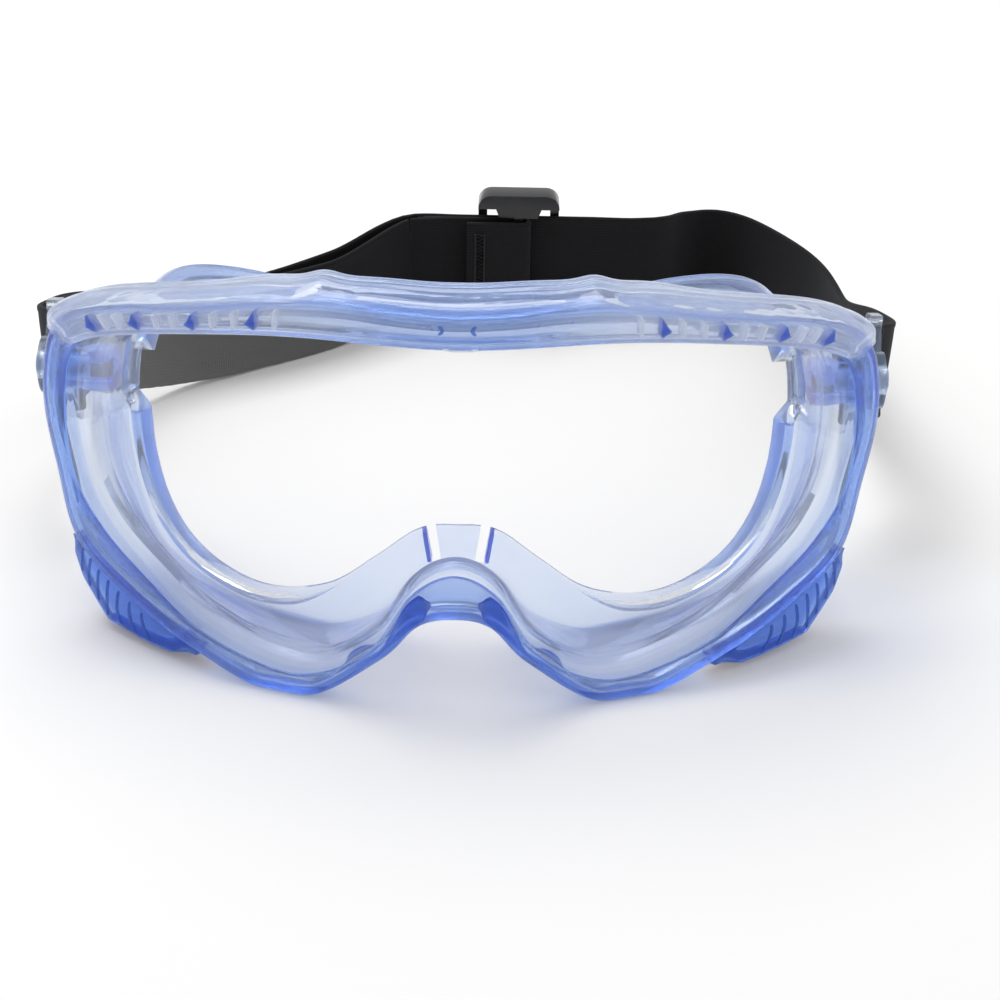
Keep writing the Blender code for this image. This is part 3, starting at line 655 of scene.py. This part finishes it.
def build_frame():
    """The soft blue body: rim, lens groove, skirt, seal and temple bosses."""
    extra = []
    for middle in (NOTCH_FROM, NOTCH_TO):
        extra += [middle + NOTCH_ROUND * k for k in (-1.3, -1, -0.5, 0, 0.5, 1, 1.3)]
    places = spread(0, NOSE, FRAME_STEP, extra)
    outer = full_loop(places, frame_outer)
    walls = [frame_thickness(place) for place in places]
    inner = inner_side(outer, walls + walls[-2:0:-1], True)
    rows = [a + b[::-1] for a, b in zip(outer, inner)]
    builder = bmesh.new()
    loft(builder, rows, around=True, across=True)
    body = subdivide(finish_mesh("frame_body", builder, BLUE))

    slits, edges = bmesh.new(), bmesh.new()
    for side in (-1, 1):
        lean = side * SLIT_LEAN
        box_mesh(slits, Vector((side * 5.2, 27.2 + DEPTH_SHIFT, 21.9)), (2.0, 8.0, 11.0), lean)
        box_mesh(edges, Vector((side * 6.3, 27.0 + DEPTH_SHIFT, 19.1)), (0.9, 3.0, 7.0), lean)
    tools = [finish_mesh("slits", slits, BLUE)]
    cut(body, tools[0])
    keep(bevel(finish_mesh("slit_edges", edges, GUSSET), 0.3, 2), "mask", "frame_pvc")
    for side in (-1, 1):
        profile = [
            (85.6, BORE_RADIUS), (85.6, 4.3), (85.2, 4.6), (80, 4.7), (74.5, 5.4), (73.2, 5.0),
            (73.0, 0.8),
        ]
        boss = turned("boss", profile, side, BLUE)
        cut(body, boss, "UNION")
        bore = turned("bore", [(77.0, BORE_RADIUS), (90.0, BORE_RADIUS)], side, BLUE)
        cut(body, bore)
        tools += [boss, bore]
    settle(body, *tools)
    keep(body, "mask", "frame_pvc", "face_seal_frame")


def build_gussets():
    """Solid blue wedges in the front of the rim on both sides of the nose."""
    for side, label in SIDES:
        rows = []
        for place in spread(10.9, 12.42, 0.08):
            opening = outline_at(LENS_OPENING, place)
            rim = rim_at(place)
            size = 0.12 + 0.88 * smooth(10.9, 12.0, place)
            size *= 1 - 0.85 * smooth(12.15, 12.42, place)
            corners = []
            for angle in (2 * pi * turn / 12 for turn in range(12)):
                across = opening.lerp(rim, 0.5) + (rim - opening) * 0.36 * size * cos(angle)
                corners.append(on_lens(across, -1.9 + 0.75 * size * sin(angle)))
            rows.append(on_side(side, corners))
        keep(solid_piece("nose_gusset_" + label, rows, GUSSET, 60), "mask", "frame_pvc")


def build_lens():
    """Bent clear sheet with rounded, matt edges, held in the frame's groove."""
    builder = bmesh.new()
    shares = (0.04, 0.12, 0.25, 0.38, 0.5, 0.62, 0.73, 0.83, 0.92)

    def column(place):
        rim = rim_at(place)
        edge = toward(rim, outline_at(LENS_OPENING, place), LENS_EDGE_INSET)
        length = (edge - LENS_CENTRE).length

        def inset(distance):
            return LENS_CENTRE.lerp(edge, 1 - distance / length)

        flat = [LENS_CENTRE.lerp(edge, share) for share in shares] + [inset(1.2), inset(0.6)]
        front = [on_lens(point, 0.0) for point in flat]
        side = [
            on_lens(inset(distance), depth)
            for distance, depth in ((0.2, 0.12), (0.04, 0.45), (0, 1), (0.04, 1.55), (0.2, 1.88))
        ]
        back = [on_lens(point, LENS_THICKNESS) for point in flat]
        return front + side + back[::-1]

    rows = full_loop(spread(0, NOSE, 0.07), column)
    grid = loft(builder, rows, around=True)
    for k, depth in ((0, 0.0), (-1, LENS_THICKNESS)):
        middle = builder.verts.new(on_lens(LENS_CENTRE, depth))
        for first, second in zip(grid, grid[1:] + grid[:1]):
            builder.faces.new((middle, first[k], second[k]))
    lens = finish_mesh("lens_shield", builder, LENS)
    lens.data.materials.append(LENS_EDGE)
    edge_from = len(shares) + 1
    strips = len(rows[0]) - 1
    for k, face in enumerate(lens.data.polygons[: strips * len(rows)]):
        if edge_from <= k % strips < strips - edge_from:
            face.material_index = 1
    keep(lens, "mask", "lens", "lens")


# ---- brow cover

COVER_WALL = 1.2
COVER_END = 4.05
COVER_BACK = [11.0, 9.0, 6.5, 6.0, 6.0, 6.0]
RIB_PLACES = [1.38, 1.95, 2.5, 3.03]
POST_PLACES = [1.2, 1.56, 1.76, 2.14, 2.3, 2.7, 2.86]
WEDGE_BACK = -0.9
LIP_NOTCHES = [-2.1, 3.3]
MARK_LOW = outline_at(LENS_OPENING, 0).lerp(rim_at(0), 0.50)
MARK_HIGH = outline_at(LENS_OPENING, 0).lerp(rim_at(0), 0.78)
MARK_DEPTH = -2.2


def cover_outer(place):
    """Outside of the brow cover, from its lower front lip over the top to the back."""
    opening = outline_at(LENS_OPENING, place)
    rim = rim_at(place)
    index = min(int(place), len(COVER_BACK) - 2)
    back = COVER_BACK[index] + (COVER_BACK[index + 1] - COVER_BACK[index]) * (place - index)
    low = 1.5 * (1 - smooth(0.40, 0.62, place))
    high = 1.7 * (1 - smooth(0.60, 0.98, place))
    bump = exp(-((place - 0.97) / 0.13) ** 2)
    flat = exp(-((place - 1.0) / 0.32) ** 2)
    close = smooth(3.5, COVER_END, place) ** 2
    rise = 2.3 * (1 - 0.5 * close) + 1.2 * bump - 1.0 * flat - 0.3 * (high / 1.7)
    front = -3.8 + 2.0 * close
    lip = opening.lerp(rim, 0.05 + 0.25 * close)
    back = back * (1 - 0.35 * close)
    points = []
    for distance, depth in (
        (0, 1.5), (0.1, 0.6), (0.6, 0.05), (1.3, 0), (2.0, 0.35), (2.6, 0.55 + low * 0.6),
    ):
        points.append(on_lens(toward(lip, rim, distance), front + depth))
    points.append(on_lens(lip.lerp(rim, 0.55), front + 0.3 + low))
    for distance, depth in (
        (rise * 0.05, front + 0.2 + (low + high) / 2), (rise * 0.45, front + 0.5 + high),
        (rise * 0.8, front + 1.4 + high * 0.7), (rise, -0.4), (rise + 0.3, back * 0.2),
        (rise + 0.3, back * 0.4), (rise + 0.05, back * 0.55), (rise + 0.35, back * 0.72),
        (rise + 0.25, back * 0.9), (rise - 0.4, back),
    ):
        points.append(on_lens(toward(rim, opening, -distance), depth))
    return points


def wedge(builder, place, side, low, high, width, front, pointed):
    """Small rib across the channel: a triangle seen from the front, or a plain post."""
    opening = outline_at(LENS_OPENING, place)
    rim = rim_at(place)
    ahead = (rim_at(place + 0.02) - rim_at(place - 0.02)).normalized()
    bottom = opening.lerp(rim, low)
    top = opening.lerp(rim, high)
    middle = bottom.lerp(top, 0.42)
    if pointed:
        outline = [bottom, middle + ahead * width, middle + ahead * width * 0.8, top]
    else:
        outline = [bottom, bottom + ahead * width, top + ahead * width, top]
    solid_loft(builder, [
        on_side(side, [on_lens(point, depth) for point in outline])
        for depth in (front, WEDGE_BACK)
    ])


def build_brow():
    """Channel over the upper air slots, with ridges, ribs and rounded ends."""
    places = spread(0, COVER_END, 0.07, [0.62, 3.9, 3.97, 4.02])
    outer = full_span(places, cover_outer)
    walls = []
    for place in places:
        thick = 0.9 * (1 - smooth(0.45, 0.9, place))
        wall = [COVER_WALL] * len(outer[0])
        wall[5:9] = [COVER_WALL + thick] * 4
        walls.append(wall)
    inner = inner_side(outer, walls[:0:-1] + walls, False)
    rows = [a + b[::-1] for a, b in zip(outer, inner)]
    builder = bmesh.new()
    grid = loft(builder, rows, across=True)
    for ring in (grid[0], grid[-1]):
        half = len(ring) // 2
        for k in range(half - 1):
            builder.faces.new((ring[k], ring[k + 1], ring[-k - 2], ring[-k - 1]))
    cover = subdivide(finish_mesh("brow_cover", builder, BROW))
    notches = bmesh.new()
    for x in LIP_NOTCHES:
        lip = on_lens(outline_at(LENS_OPENING, 0), -3.0)
        box_mesh(notches, Vector((x, lip.y, lip.z + 0.2)), (1.1, 2.6, 1.5))
    notches = finish_mesh("notches", notches, BROW)
    cut(cover, notches)
    settle(cover, notches)
    keep(cover, "mask", "cover_pvc", "brow_vent_cover")

    ribs, posts = bmesh.new(), bmesh.new()
    for side in (-1, 1):
        for place in RIB_PLACES:
            wedge(ribs, place, side, 0.24, 0.84, 1.9, -3.75, True)
        for place in POST_PLACES:
            wedge(posts, place, side, 0.28, 0.8, 0.7, -3.62, False)
        mark = []
        for share in (k / 6 for k in range(7)):
            across = Vector((side * (3.4 - 0.7 * sin(pi * share)), 0))
            mark.append(on_lens(across + MARK_LOW.lerp(MARK_HIGH, share), MARK_DEPTH))
        tube(ribs, mark, 0.35, 8)
    # The brow posts carry the pale haze that paints a white highlight on them.
    for name, builder, material in (("brow_ribs", ribs, RIB), ("brow_posts", posts, POST_WITH_PAINTED_HIGHLIGHT)):
        keep(bevel(finish_mesh(name, builder, material), 0.15, 2), "mask", "cover_pvc")


# ---- lower vent covers

VENT_FIRST = 7.0
VENT_LAST = 9.1
VENT_OUTLINE = [(81.6, 17), (78.6, 8.5), (73, 2), (63, 1.2), (54.5, 1.2)]
VENT_FRONT = -0.4
VENT_BACK = 6.0
VENT_THIN = 1.5
VENT_FINS = [0.09, 0.18, 0.27, 0.36, 0.45, 0.54, 0.63]
FIN_RADIUS = 0.38


def vent_edges(place):
    """Edge of a vent cover along the rim and its outer edge; they close at both ends."""
    rim = rim_at(place)
    inner = toward(rim, outline_at(LENS_OPENING, place), -0.4)
    run = (place - VENT_FIRST) / (VENT_LAST - VENT_FIRST)
    share = run * (len(VENT_OUTLINE) - 1)
    index = min(int(share), len(VENT_OUTLINE) - 2)
    outer = Vector(VENT_OUTLINE[index]).lerp(Vector(VENT_OUTLINE[index + 1]), share - index)
    end = max(smooth(0.88, 1.0, run), 1 - smooth(0.0, 0.12, run))
    thin = end if (outer - inner).length > VENT_THIN else 1.0
    return inner, outer.lerp(toward(inner, outer, VENT_THIN), thin), end


def vent_section(place):
    """Closed section of a vent cover with rounded edges."""
    inner, outer, end = vent_edges(place)
    back = VENT_BACK - 2.0 * end
    section = [on_lens(inner, VENT_FRONT + 0.3)]
    for across, depth in (
        (0.08, 0), (0.3, 0), (0.5, 0), (0.7, 0), (0.85, 0), (0.93, 0.15), (0.98, 0.5), (1, 1)
    ):
        section.append(on_lens(inner.lerp(outer, across), VENT_FRONT + depth))
    for across, depth in ((1, 0.9), (0.96, 0.3), (0.88, 0), (0.08, 0), (0, 0.3)):
        section.append(on_lens(inner.lerp(outer, across), back - depth))
    return section


def fin_points(first):
    """Curved line of one fin across the front of a vent cover."""
    points = []
    for k in range(13):
        across = 0.12 + 0.72 * k / 12
        run = first + 0.17 * across ** 1.5
        inner, outer, _ = vent_edges(VENT_FIRST + run * (VENT_LAST - VENT_FIRST))
        points.append(on_lens(inner.lerp(outer, across), VENT_FRONT + 0.05))
    return points


def build_vents():
    """Finned blue wedges under the cheeks."""
    for side, label in SIDES:
        places = spread(VENT_FIRST, VENT_LAST, 0.03)
        rows = [on_side(side, vent_section(place)) for place in places]
        cover = solid_piece("vent_cover_" + label, rows, DEEP_BLUE, 50)
        keep(cover, "mask", "vent_blue", "lower_vent_cover_" + label)
        fins = bmesh.new()
        for first in VENT_FINS:
            tube(fins, on_side(side, fin_points(first)), FIN_RADIUS, 8)
        keep(finish_mesh("vent_fins_" + label, fins, RIB, 60), "mask", "vent_blue")


# ---- clips and pivots

PIVOT_DEPTH = 53.0
PIVOT_HEIGHT = 46.0
PIVOT = Vector((0, PIVOT_DEPTH + DEPTH_SHIFT, PIVOT_HEIGHT))
BAND_SLOPE = radians(21.0)
CLIP_INNER = 86.0
CLIP_THICKNESS = 2.4
CLIP_TILT = 0.14


def turned(name, profile, side, material):
    """Solid turned about the pivot axis from (x, radius) points, with flat ends."""
    builder = bmesh.new()
    rows = []
    for angle in (2 * pi * k / 40 for k in range(40)):
        spoke = Vector((0, cos(angle), sin(angle)))
        rows.append([PIVOT + Vector((side * x, 0, 0)) + spoke * r for x, r in profile])
    grid = loft(builder, rows, around=True)
    builder.faces.new([row[0] for row in grid])
    builder.faces.new([row[-1] for row in grid])
    return finish_mesh(name, builder, material, 50)


def clip_plate(side, label):
    """Clear plate with a round eye and a slot, tipped back to the band's slope.

    It is built on the left; the right plate is the same mesh mirrored.
    """
    angles = [radians(70) + k * radians(220) / 16 for k in range(17)]
    outline = [(6.0 * cos(angle), 6.0 * sin(angle)) for angle in angles]
    arc = []
    for y, z, radius, first in ((12.2, 10.3, 2.6, 180), (17.6, 11.6, 1.6, 90)):
        for k in range(7):
            angle = radians(first - k * 90 / 6)
            arc.append((y + radius * cos(angle), z + radius * sin(angle)))
    outline += [(y, -z) for y, z in arc] + arc[::-1]
    turn = Matrix.Rotation(-BAND_SLOPE, 3, "X")

    def plate(outline, low, high, name):
        rings = []
        for x in (low, high):
            rings.append([])
            for y, z in outline:
                out = x + CLIP_TILT * z * smooth(5.0, 11.0, y)
                rings[-1].append(turn @ Vector((-out, y, z)) + PIVOT)
        return solid_piece(name, rings, CLIP)

    clip = plate(outline, CLIP_INNER, CLIP_INNER + CLIP_THICKNESS, "clip_plate_" + label)
    low, high = CLIP_INNER - 2, CLIP_INNER + 5
    slot = plate(rounded_rectangle(11.5, 15.6, -11.7, 11.7, 1.0), low, high, "slot")
    eye = turned("eye", [(low, BORE_RADIUS), (high, BORE_RADIUS)], -1, CLIP)
    cut(clip, slot)
    cut(clip, eye)
    settle(clip, slot, eye)
    settle(bevel(clip, 0.5, 4, 40))
    if side > 0:
        clip.data.transform(Matrix.Scale(-1, 4, Vector((1, 0, 0))))
        clip.data.flip_normals()
    keep(clip, "headband", "clip_clear", "strap_clip_" + label)


def build_clips():
    """Clear clip plates on the temples, and the turned pins that hold them."""
    for side, label in SIDES:
        clip_plate(side, label)
        cap = CLIP_INNER + CLIP_THICKNESS + 0.3
        profile = [(77.4, 1.2), (77.8, 2.0)] + [(cap + out, radius) for out, radius in (
            (0, 2.0), (0.02, 2.9), (0.15, 3.1), (0.4, 3.1), (0.6, 2.9), (0.72, 2.6),
            (0.75, 2.0), (0.6, 1.7), (0.55, 0.5),
        )]
        pin = turned("pivot_pin_" + label, profile, side, PIN)
        keep(pin, "mask", "pivot_nylon", "clip_pivot_" + label)


# ---- headband

BAND_WIDTH = 25.0
BAND_THICKNESS = 1.3
BAND_LOOP_RADIUS = 2.3
BAND_LOOP_CENTRE = 16.0
BAND_LAYER_STEP = 1.8
BAND_STRAIGHT = 6.0
BAND_SETTLE = 1.5
LAYERS_CLOSE = 28.0
STITCHED_END = 22.0
RIGHT_SIDE = [(95.2, 83), (96, 98), (95.4, 125), (94.6, 153), (91.5, 171), (84, 188)]
BACK_WAVE = [(75, 201), (66, 205), (58, 199), (52, 191), (45, 186.5)]
LEFT_WAVE = [(-16, 186.5), (-24.5, 182), (-33, 174.5), (-42, 165), (-51.5, 155.5)]
LEFT_SIDE = [(-62, 147), (-76, 138.5), (-88, 126), (-95, 108), (-96, 94), (-95.2, 83)]
SLIDER_X = 12.0
SLIDER_DEPTH = 186.5
INNER_LAYER = SLIDER_DEPTH - BAND_LAYER_STEP
SLIDER_WIDTH = 22.0
SLIDER_HEIGHT = 36.5
SLIDER_RAIL = 3.8
SLIDER_BAR = 2.4
SLIDER_BAR_BACK = 1.6
SLIDER_BAR_MIDDLE = 1.8
SLIDER_GAP = 0.35
LOOP_SLACK = 0.9
SLACK_FROM = -62.0
SLACK_TO = -9.0
SLACK_DEPTH = 4.0
LOOP_TAIL = 18.0
LOOP_RETURN = 14.0
SLIDE_BACK = 10.0
LIFT_HEIGHT = 4.3
LIFT_MIDDLE = 14.0
LIFT_FLAT = 30.0
LIFT_END = 52.0
GATHER = 0.15
GATHER_DROP = 2.6
TACK_LENGTH = 19.0
TACK_TURNS = 36
SELVEDGE = [
    (12.5, 0.0), (12.42, 0.36), (12.15, 0.6), (11.7, 0.65), (11.2, 0.6), (10.9, 0.5),
    (8.0, 0.56), (4.0, 0.58), (0.0, 0.58),
]


def band_slope(y):
    """Drop still to come at one depth, in units of the soft bend at its foot."""
    touch = PIVOT_DEPTH + (PIVOT_HEIGHT - BAND_WIDTH / 2) / tan(BAND_SLOPE)
    return (touch - y) * tan(BAND_SLOPE) / BAND_SETTLE


def band_height(x, y):
    """Height of the webbing's middle, level at the back and lifted on the slider."""
    slope = band_slope(y)
    drop = BAND_SETTLE * (slope if slope > 30 else log(1 + exp(slope)))
    lift = LIFT_HEIGHT * (1 - smooth(LIFT_FLAT, LIFT_END, abs(x - LIFT_MIDDLE)))
    return BAND_WIDTH / 2 + drop + (lift if y > PIVOT_DEPTH + 90 else 0.0)


def band_lean(y):
    """Angle of the webbing's width from upright at one depth."""
    return atan(tan(BAND_SLOPE) / (1 + exp(-max(min(band_slope(y), 40), -40))))


def smooth_path(points, step):
    """Sample a Catmull-Rom curve through plan points about every step millimetres."""
    padded = [2 * points[0] - points[1]] + points + [2 * points[-1] - points[-2]]
    path = []
    for k in range(1, len(padded) - 2):
        near = padded[k - 1:k + 3]
        count = max(1, round((near[2] - near[1]).length / step))
        path += [catmull_rom(*near, j / count) for j in range(count)]
    path.append(points[-1])
    return path


def clip_turn(side):
    """Half turn of the webbing round a clip's end bar, from outside to inside."""
    turn = []
    for angle in (pi * k / 12 for k in range(13)):
        across = CLIP_INNER + CLIP_THICKNESS / 2 + BAND_LOOP_RADIUS * cos(angle)
        along = BAND_LOOP_CENTRE - BAND_LOOP_RADIUS * sin(angle)
        turn.append(Vector((side * across, PIVOT_DEPTH + along * cos(BAND_SLOPE))))
    return turn


def offset_path(path, distances):
    """Move each plan point toward the inside of the headband."""
    aheads = (heading(path, k) for k in range(len(path)))
    return [
        point + Vector((-ahead.y, ahead.x)) * distance
        for point, ahead, distance in zip(path, aheads, distances)
    ]


def path_lengths(path):
    """Length run from the first plan point to each point."""
    lengths = [0.0]
    for first, second in zip(path, path[1:]):
        lengths.append(lengths[-1] + (second - first).length)
    return lengths


def layer_gap(run):
    """Distance between two layers, wide at the clip bar and closing behind it."""
    wide = 2 * BAND_LOOP_RADIUS
    share = smooth(BAND_STRAIGHT, BAND_STRAIGHT + LAYERS_CLOSE, run)
    return wide + (BAND_LAYER_STEP - wide) * share


def slack_gap(x):
    """Extra distance where the inner layer hangs slack beside the slider."""
    share = min(max((x - SLACK_FROM) / (SLACK_TO - SLACK_FROM), 0.0), 1.0)
    return SLACK_DEPTH * sin(pi * share) ** 2


def headband_paths():
    """Plans of the whole webbing, its sewn right end, and the inner layer by the slider."""
    start, finish = clip_turn(1)[0], clip_turn(-1)[0]
    straight = Vector((0, BAND_STRAIGHT))
    level = [(SLIDER_X + k, SLIDER_DEPTH) for k in (20, 8, -4, -16)]
    bends = RIGHT_SIDE + BACK_WAVE + level + LEFT_WAVE + LEFT_SIDE
    plan = [start, start + straight, *map(Vector, bends), finish + straight, finish]
    outer = smooth_path(plan, 2.5)
    run = path_lengths(outer)
    right_inner = offset_path(outer, [layer_gap(length) for length in run])
    left_inner = offset_path(outer, [
        layer_gap(run[-1] - length) + slack_gap(point.x) for point, length in zip(outer, run)
    ])
    sewn = [p for p, length in zip(right_inner, run) if length <= STITCHED_END]
    tail = SLIDER_X - LOOP_TAIL
    last = tail - SLIDE_BACK
    doubled = [p for p, place in zip(left_inner, outer) if place.x < last]
    between = [p for p, place in zip(left_inner, outer) if last <= place.x < tail]
    whole = sewn[:0:-1] + clip_turn(1)[:0:-1] + outer[:-1]
    whole += clip_turn(-1)[:-1] + doubled[::-1]
    return whole, sewn, doubled[:1], between


def ribbon_points(path):
    """Middle, width direction and inward direction at each plan point."""
    points = [Vector((p.x, p.y + DEPTH_SHIFT, band_height(p.x, p.y))) for p in path]
    found = []
    for k, point in enumerate(points):
        ahead, lean = heading(points, k), band_lean(path[k].y)
        tilt = CLIP_TILT * (1 - smooth(20, 75, path[k].y - PIVOT_DEPTH))
        tilt = tilt if point.x > 0 else -tilt
        up = Vector((tilt, sin(lean), cos(lean)))
        up = (up - ahead * up.dot(ahead)).normalized()
        found.append((point, up, up.cross(ahead)))
    return found


def gathered(point):
    """Share of the webbing's width that is left where it is gathered in a clip."""
    behind = point.y - DEPTH_SHIFT - PIVOT_DEPTH
    return 1 - GATHER * (1 - smooth(16, 62, behind))


def webbing(name, path):
    """Elastic webbing with rounded selvedges along a plan path, with a weave map."""
    top = SELVEDGE + [(-u, v) for u, v in SELVEDGE[-2::-1]]
    section = top + [(u, -v) for u, v in top[-2:0:-1]]
    found = ribbon_points(path)
    rows = []
    for point, up, inward in found:
        share = gathered(point)
        middle = point - up * GATHER_DROP * (1 - share)
        rows.append([middle + up * u * share + inward * v for u, v in section])
    builder = bmesh.new()
    grid = loft(builder, rows, across=True)
    weave = builder.loops.layers.uv.new("weave")
    lengths = path_lengths([point for point, _, _ in found])
    place = {
        vertex: (length * MM, across * MM)
        for row, length in zip(grid, lengths) for vertex, (across, _) in zip(row, section)
    }
    for ring in (grid[0], grid[-1]):
        half = len(ring) // 2
        builder.faces.new((ring[0], ring[1], ring[-1]))
        for k in range(1, half - 1):
            builder.faces.new((ring[k], ring[k + 1], ring[-k - 1], ring[-k]))
        builder.faces.new((ring[half - 1], ring[half], ring[half + 1]))
    for face in builder.faces:
        for corner in face.loops:
            corner[weave].uv = place[corner.vert]
    return finish_mesh(name, builder, WEBBING, 60)


def bar_tack(name, path, side):
    """Dense zigzag of thread across the webbing between two plan points."""
    start, end = ribbon_points(path)
    points = []
    for k in range(TACK_TURNS + 1):
        middle, up, inward = start if k % 2 else end
        level = TACK_LENGTH * (k / TACK_TURNS - 0.5)
        points.append(middle + up * level + inward * side * (BAND_THICKNESS / 2 + 0.22))
    builder = bmesh.new()
    tube(builder, points, 0.26)
    for middle, up, inward in (start, end):
        lift = inward * side * (BAND_THICKNESS / 2 + 0.1)
        line = [middle + up * TACK_LENGTH * (k / 24 - 0.5) + lift for k in range(25)]
        tube(builder, line, 0.22)
    return finish_mesh(name, builder, THREAD, 70)


def build_headband():
    """Webbing from its sewn end round the head to the slider, its loop and its tacks."""
    whole, sewn, doubled, between = headband_paths()
    keep(webbing("headband_webbing", whole), "headband", "webbing", "headband")
    tack = [toward(sewn[-1], sewn[-2], distance) for distance in (1.5, 3.9)]
    keep(bar_tack("tack_right", tack, -1), "headband", "thread", "band_tack_right")

    radius = SLIDER_BAR_MIDDLE / 2 + SLIDER_GAP + BAND_THICKNESS / 2
    centre = INNER_LAYER - radius
    back = centre - radius
    tail = SLIDER_X - LOOP_TAIL
    path = [Vector((tail + k * 3, INNER_LAYER)) for k in range(6)]
    middle = Vector((SLIDER_X + LOOP_SLACK, centre))
    for angle in (pi / 2 - pi * k / 16 for k in range(17)):
        path.append(middle + Vector((cos(angle), sin(angle))) * radius)
    path += [Vector((SLIDER_X - k, back)) for k in (3, 6, 9, 12, LOOP_RETURN)]
    keep(webbing("end_loop_webbing", path), "slider", "webbing", "band_end_loop")
    tack_x = SLIDER_X - LOOP_RETURN + 4.8
    tack = [Vector((tack_x, back)), Vector((tack_x - 2.4, back))]
    keep(bar_tack("tack_slider", tack, 1), "slider", "thread", "band_tack_slider")

    bridge = doubled + between + [Vector((tail, INNER_LAYER))]
    joint = webbing("inner_layer_stretch", bridge[::-1])
    start, end = ribbon_points([bridge[0], bridge[-1]])
    return joint, start[0] * MM, end[0] * MM


def prism(name, outline, low, high):
    """Black solid with an outline in X and Z between two depths."""
    rows = [[(x, depth, z) for x, z in outline] for depth in (low, high)]
    return solid_piece(name, rows, MOULDED)


def build_slider():
    """Glossy three-bar slider with round corners and a bar in front of the webbing."""
    bar_back = INNER_LAYER - BAND_THICKNESS / 2 - SLIDER_GAP + DEPTH_SHIFT
    bar_front = bar_back - SLIDER_BAR_MIDDLE
    side_front = SLIDER_DEPTH + BAND_THICKNESS / 2 + SLIDER_GAP + DEPTH_SHIFT
    side_back = side_front + SLIDER_BAR_BACK
    left, right = SLIDER_X - SLIDER_WIDTH / 2, SLIDER_X + SLIDER_WIDTH / 2
    top = SLIDER_HEIGHT - SLIDER_RAIL
    outline = rounded_rectangle(left, right, 0, SLIDER_HEIGHT, 3.6)
    slider = prism("slider_body", outline, bar_front, side_back)
    tools = []

    def tool(outline, low, high, operation):
        tools.append(prism("tool", outline, low, high))
        cut(slider, tools[-1], operation)

    window = rounded_rectangle(left + SLIDER_BAR, right - SLIDER_BAR, SLIDER_RAIL, top, 1.2)
    tool(window, bar_front - 1, side_back + 1, "DIFFERENCE")
    left, right, low = left - 1, right + 1, SLIDER_RAIL
    sides = [(left, low), (right, low), (right, top), (left, top)]
    tool(sides, bar_front - 1, side_front, "DIFFERENCE")
    bar = rounded_rectangle(
        SLIDER_X - SLIDER_BAR / 2, SLIDER_X + SLIDER_BAR / 2, 1.0, SLIDER_HEIGHT - 1.0, 0.3
    )
    tool(bar, bar_front + 0.02, bar_back, "UNION")
    foot, tip = SLIDER_RAIL - 1, SLIDER_RAIL + 2.6
    for wide, slim in ((foot, tip), (SLIDER_HEIGHT - foot, SLIDER_HEIGHT - tip)):
        web = ((-6.6, wide), (6.6, wide), (5.2, slim), (-5.2, slim))
        web = [(SLIDER_X + across, z) for across, z in web]
        tool(web, bar_front + 0.3, bar_front + 1.4, "UNION")
    settle(slider, *tools)
    settle(bevel(slider, 0.45, 4, 40))
    keep(slider, "slider", "slider_plastic", "headband_slider")


# ---- staging

CAMERA_PLACE = (8.4, -428.92, 229.43)
CAMERA_PITCH = radians(29.37)
CAMERA_ROLL = radians(1.1)


def add_area(name, place, target, size, power):
    """Soft rectangular light that faces a point, in metres."""
    data = bpy.data.lights.new(name, "AREA")
    data.shape = "RECTANGLE"
    data.size, data.size_y = size
    data.energy = power
    lamp = add_object(name, data)
    lamp.location = place
    lamp.rotation_euler = (Vector(target) - Vector(place)).to_track_quat("-Z", "Y").to_euler()


def build_stage():
    """Camera at the photograph's angle, pale floor and soft light."""
    scene = bpy.context.scene
    data = bpy.data.cameras.new("camera")
    data.sensor_width = 36.0
    data.lens = 72.0
    data.clip_start = 0.01
    camera = add_object("camera", data)
    turn = Matrix.Rotation(pi / 2 - CAMERA_PITCH, 4, "X") @ Matrix.Rotation(CAMERA_ROLL, 4, "Z")
    camera.matrix_world = Matrix.Translation(Vector(CAMERA_PLACE) * MM) @ turn
    scene.camera = camera

    builder = bmesh.new()
    bmesh.ops.create_grid(builder, x_segments=8, y_segments=8, size=3000.0)
    floor = finish_mesh("floor", builder, floor_material())
    floor.location.z = CAD_BOX[0][2] - 0.0001

    world = bpy.data.worlds.new("studio")
    world.use_nodes = True
    backdrop = world.node_tree.nodes["Background"]
    backdrop.inputs["Color"].default_value = (1, 1, 1, 1)
    backdrop.inputs["Strength"].default_value = 0.70
    scene.world = world
    add_area("key", (-0.25, 0.35, 0.9), (0, -0.02, 0.03), (0.8, 0.5), 5.6)
    add_area("fill", (0.7, -0.5, 0.8), (0, 0, 0.03), (0.8, 0.8), 0.6)
    scene.view_settings.view_transform = "Standard"
    scene.cycles.transparent_max_bounces = 32
    scene.cycles.transmission_bounces = scene.cycles.max_bounces = 18


build_frame()
build_gussets()
build_lens()
build_brow()
build_vents()
build_clips()
stretch, stretch_from, stretch_to = build_headband()
build_slider()
build_stage()
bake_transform(stretch)
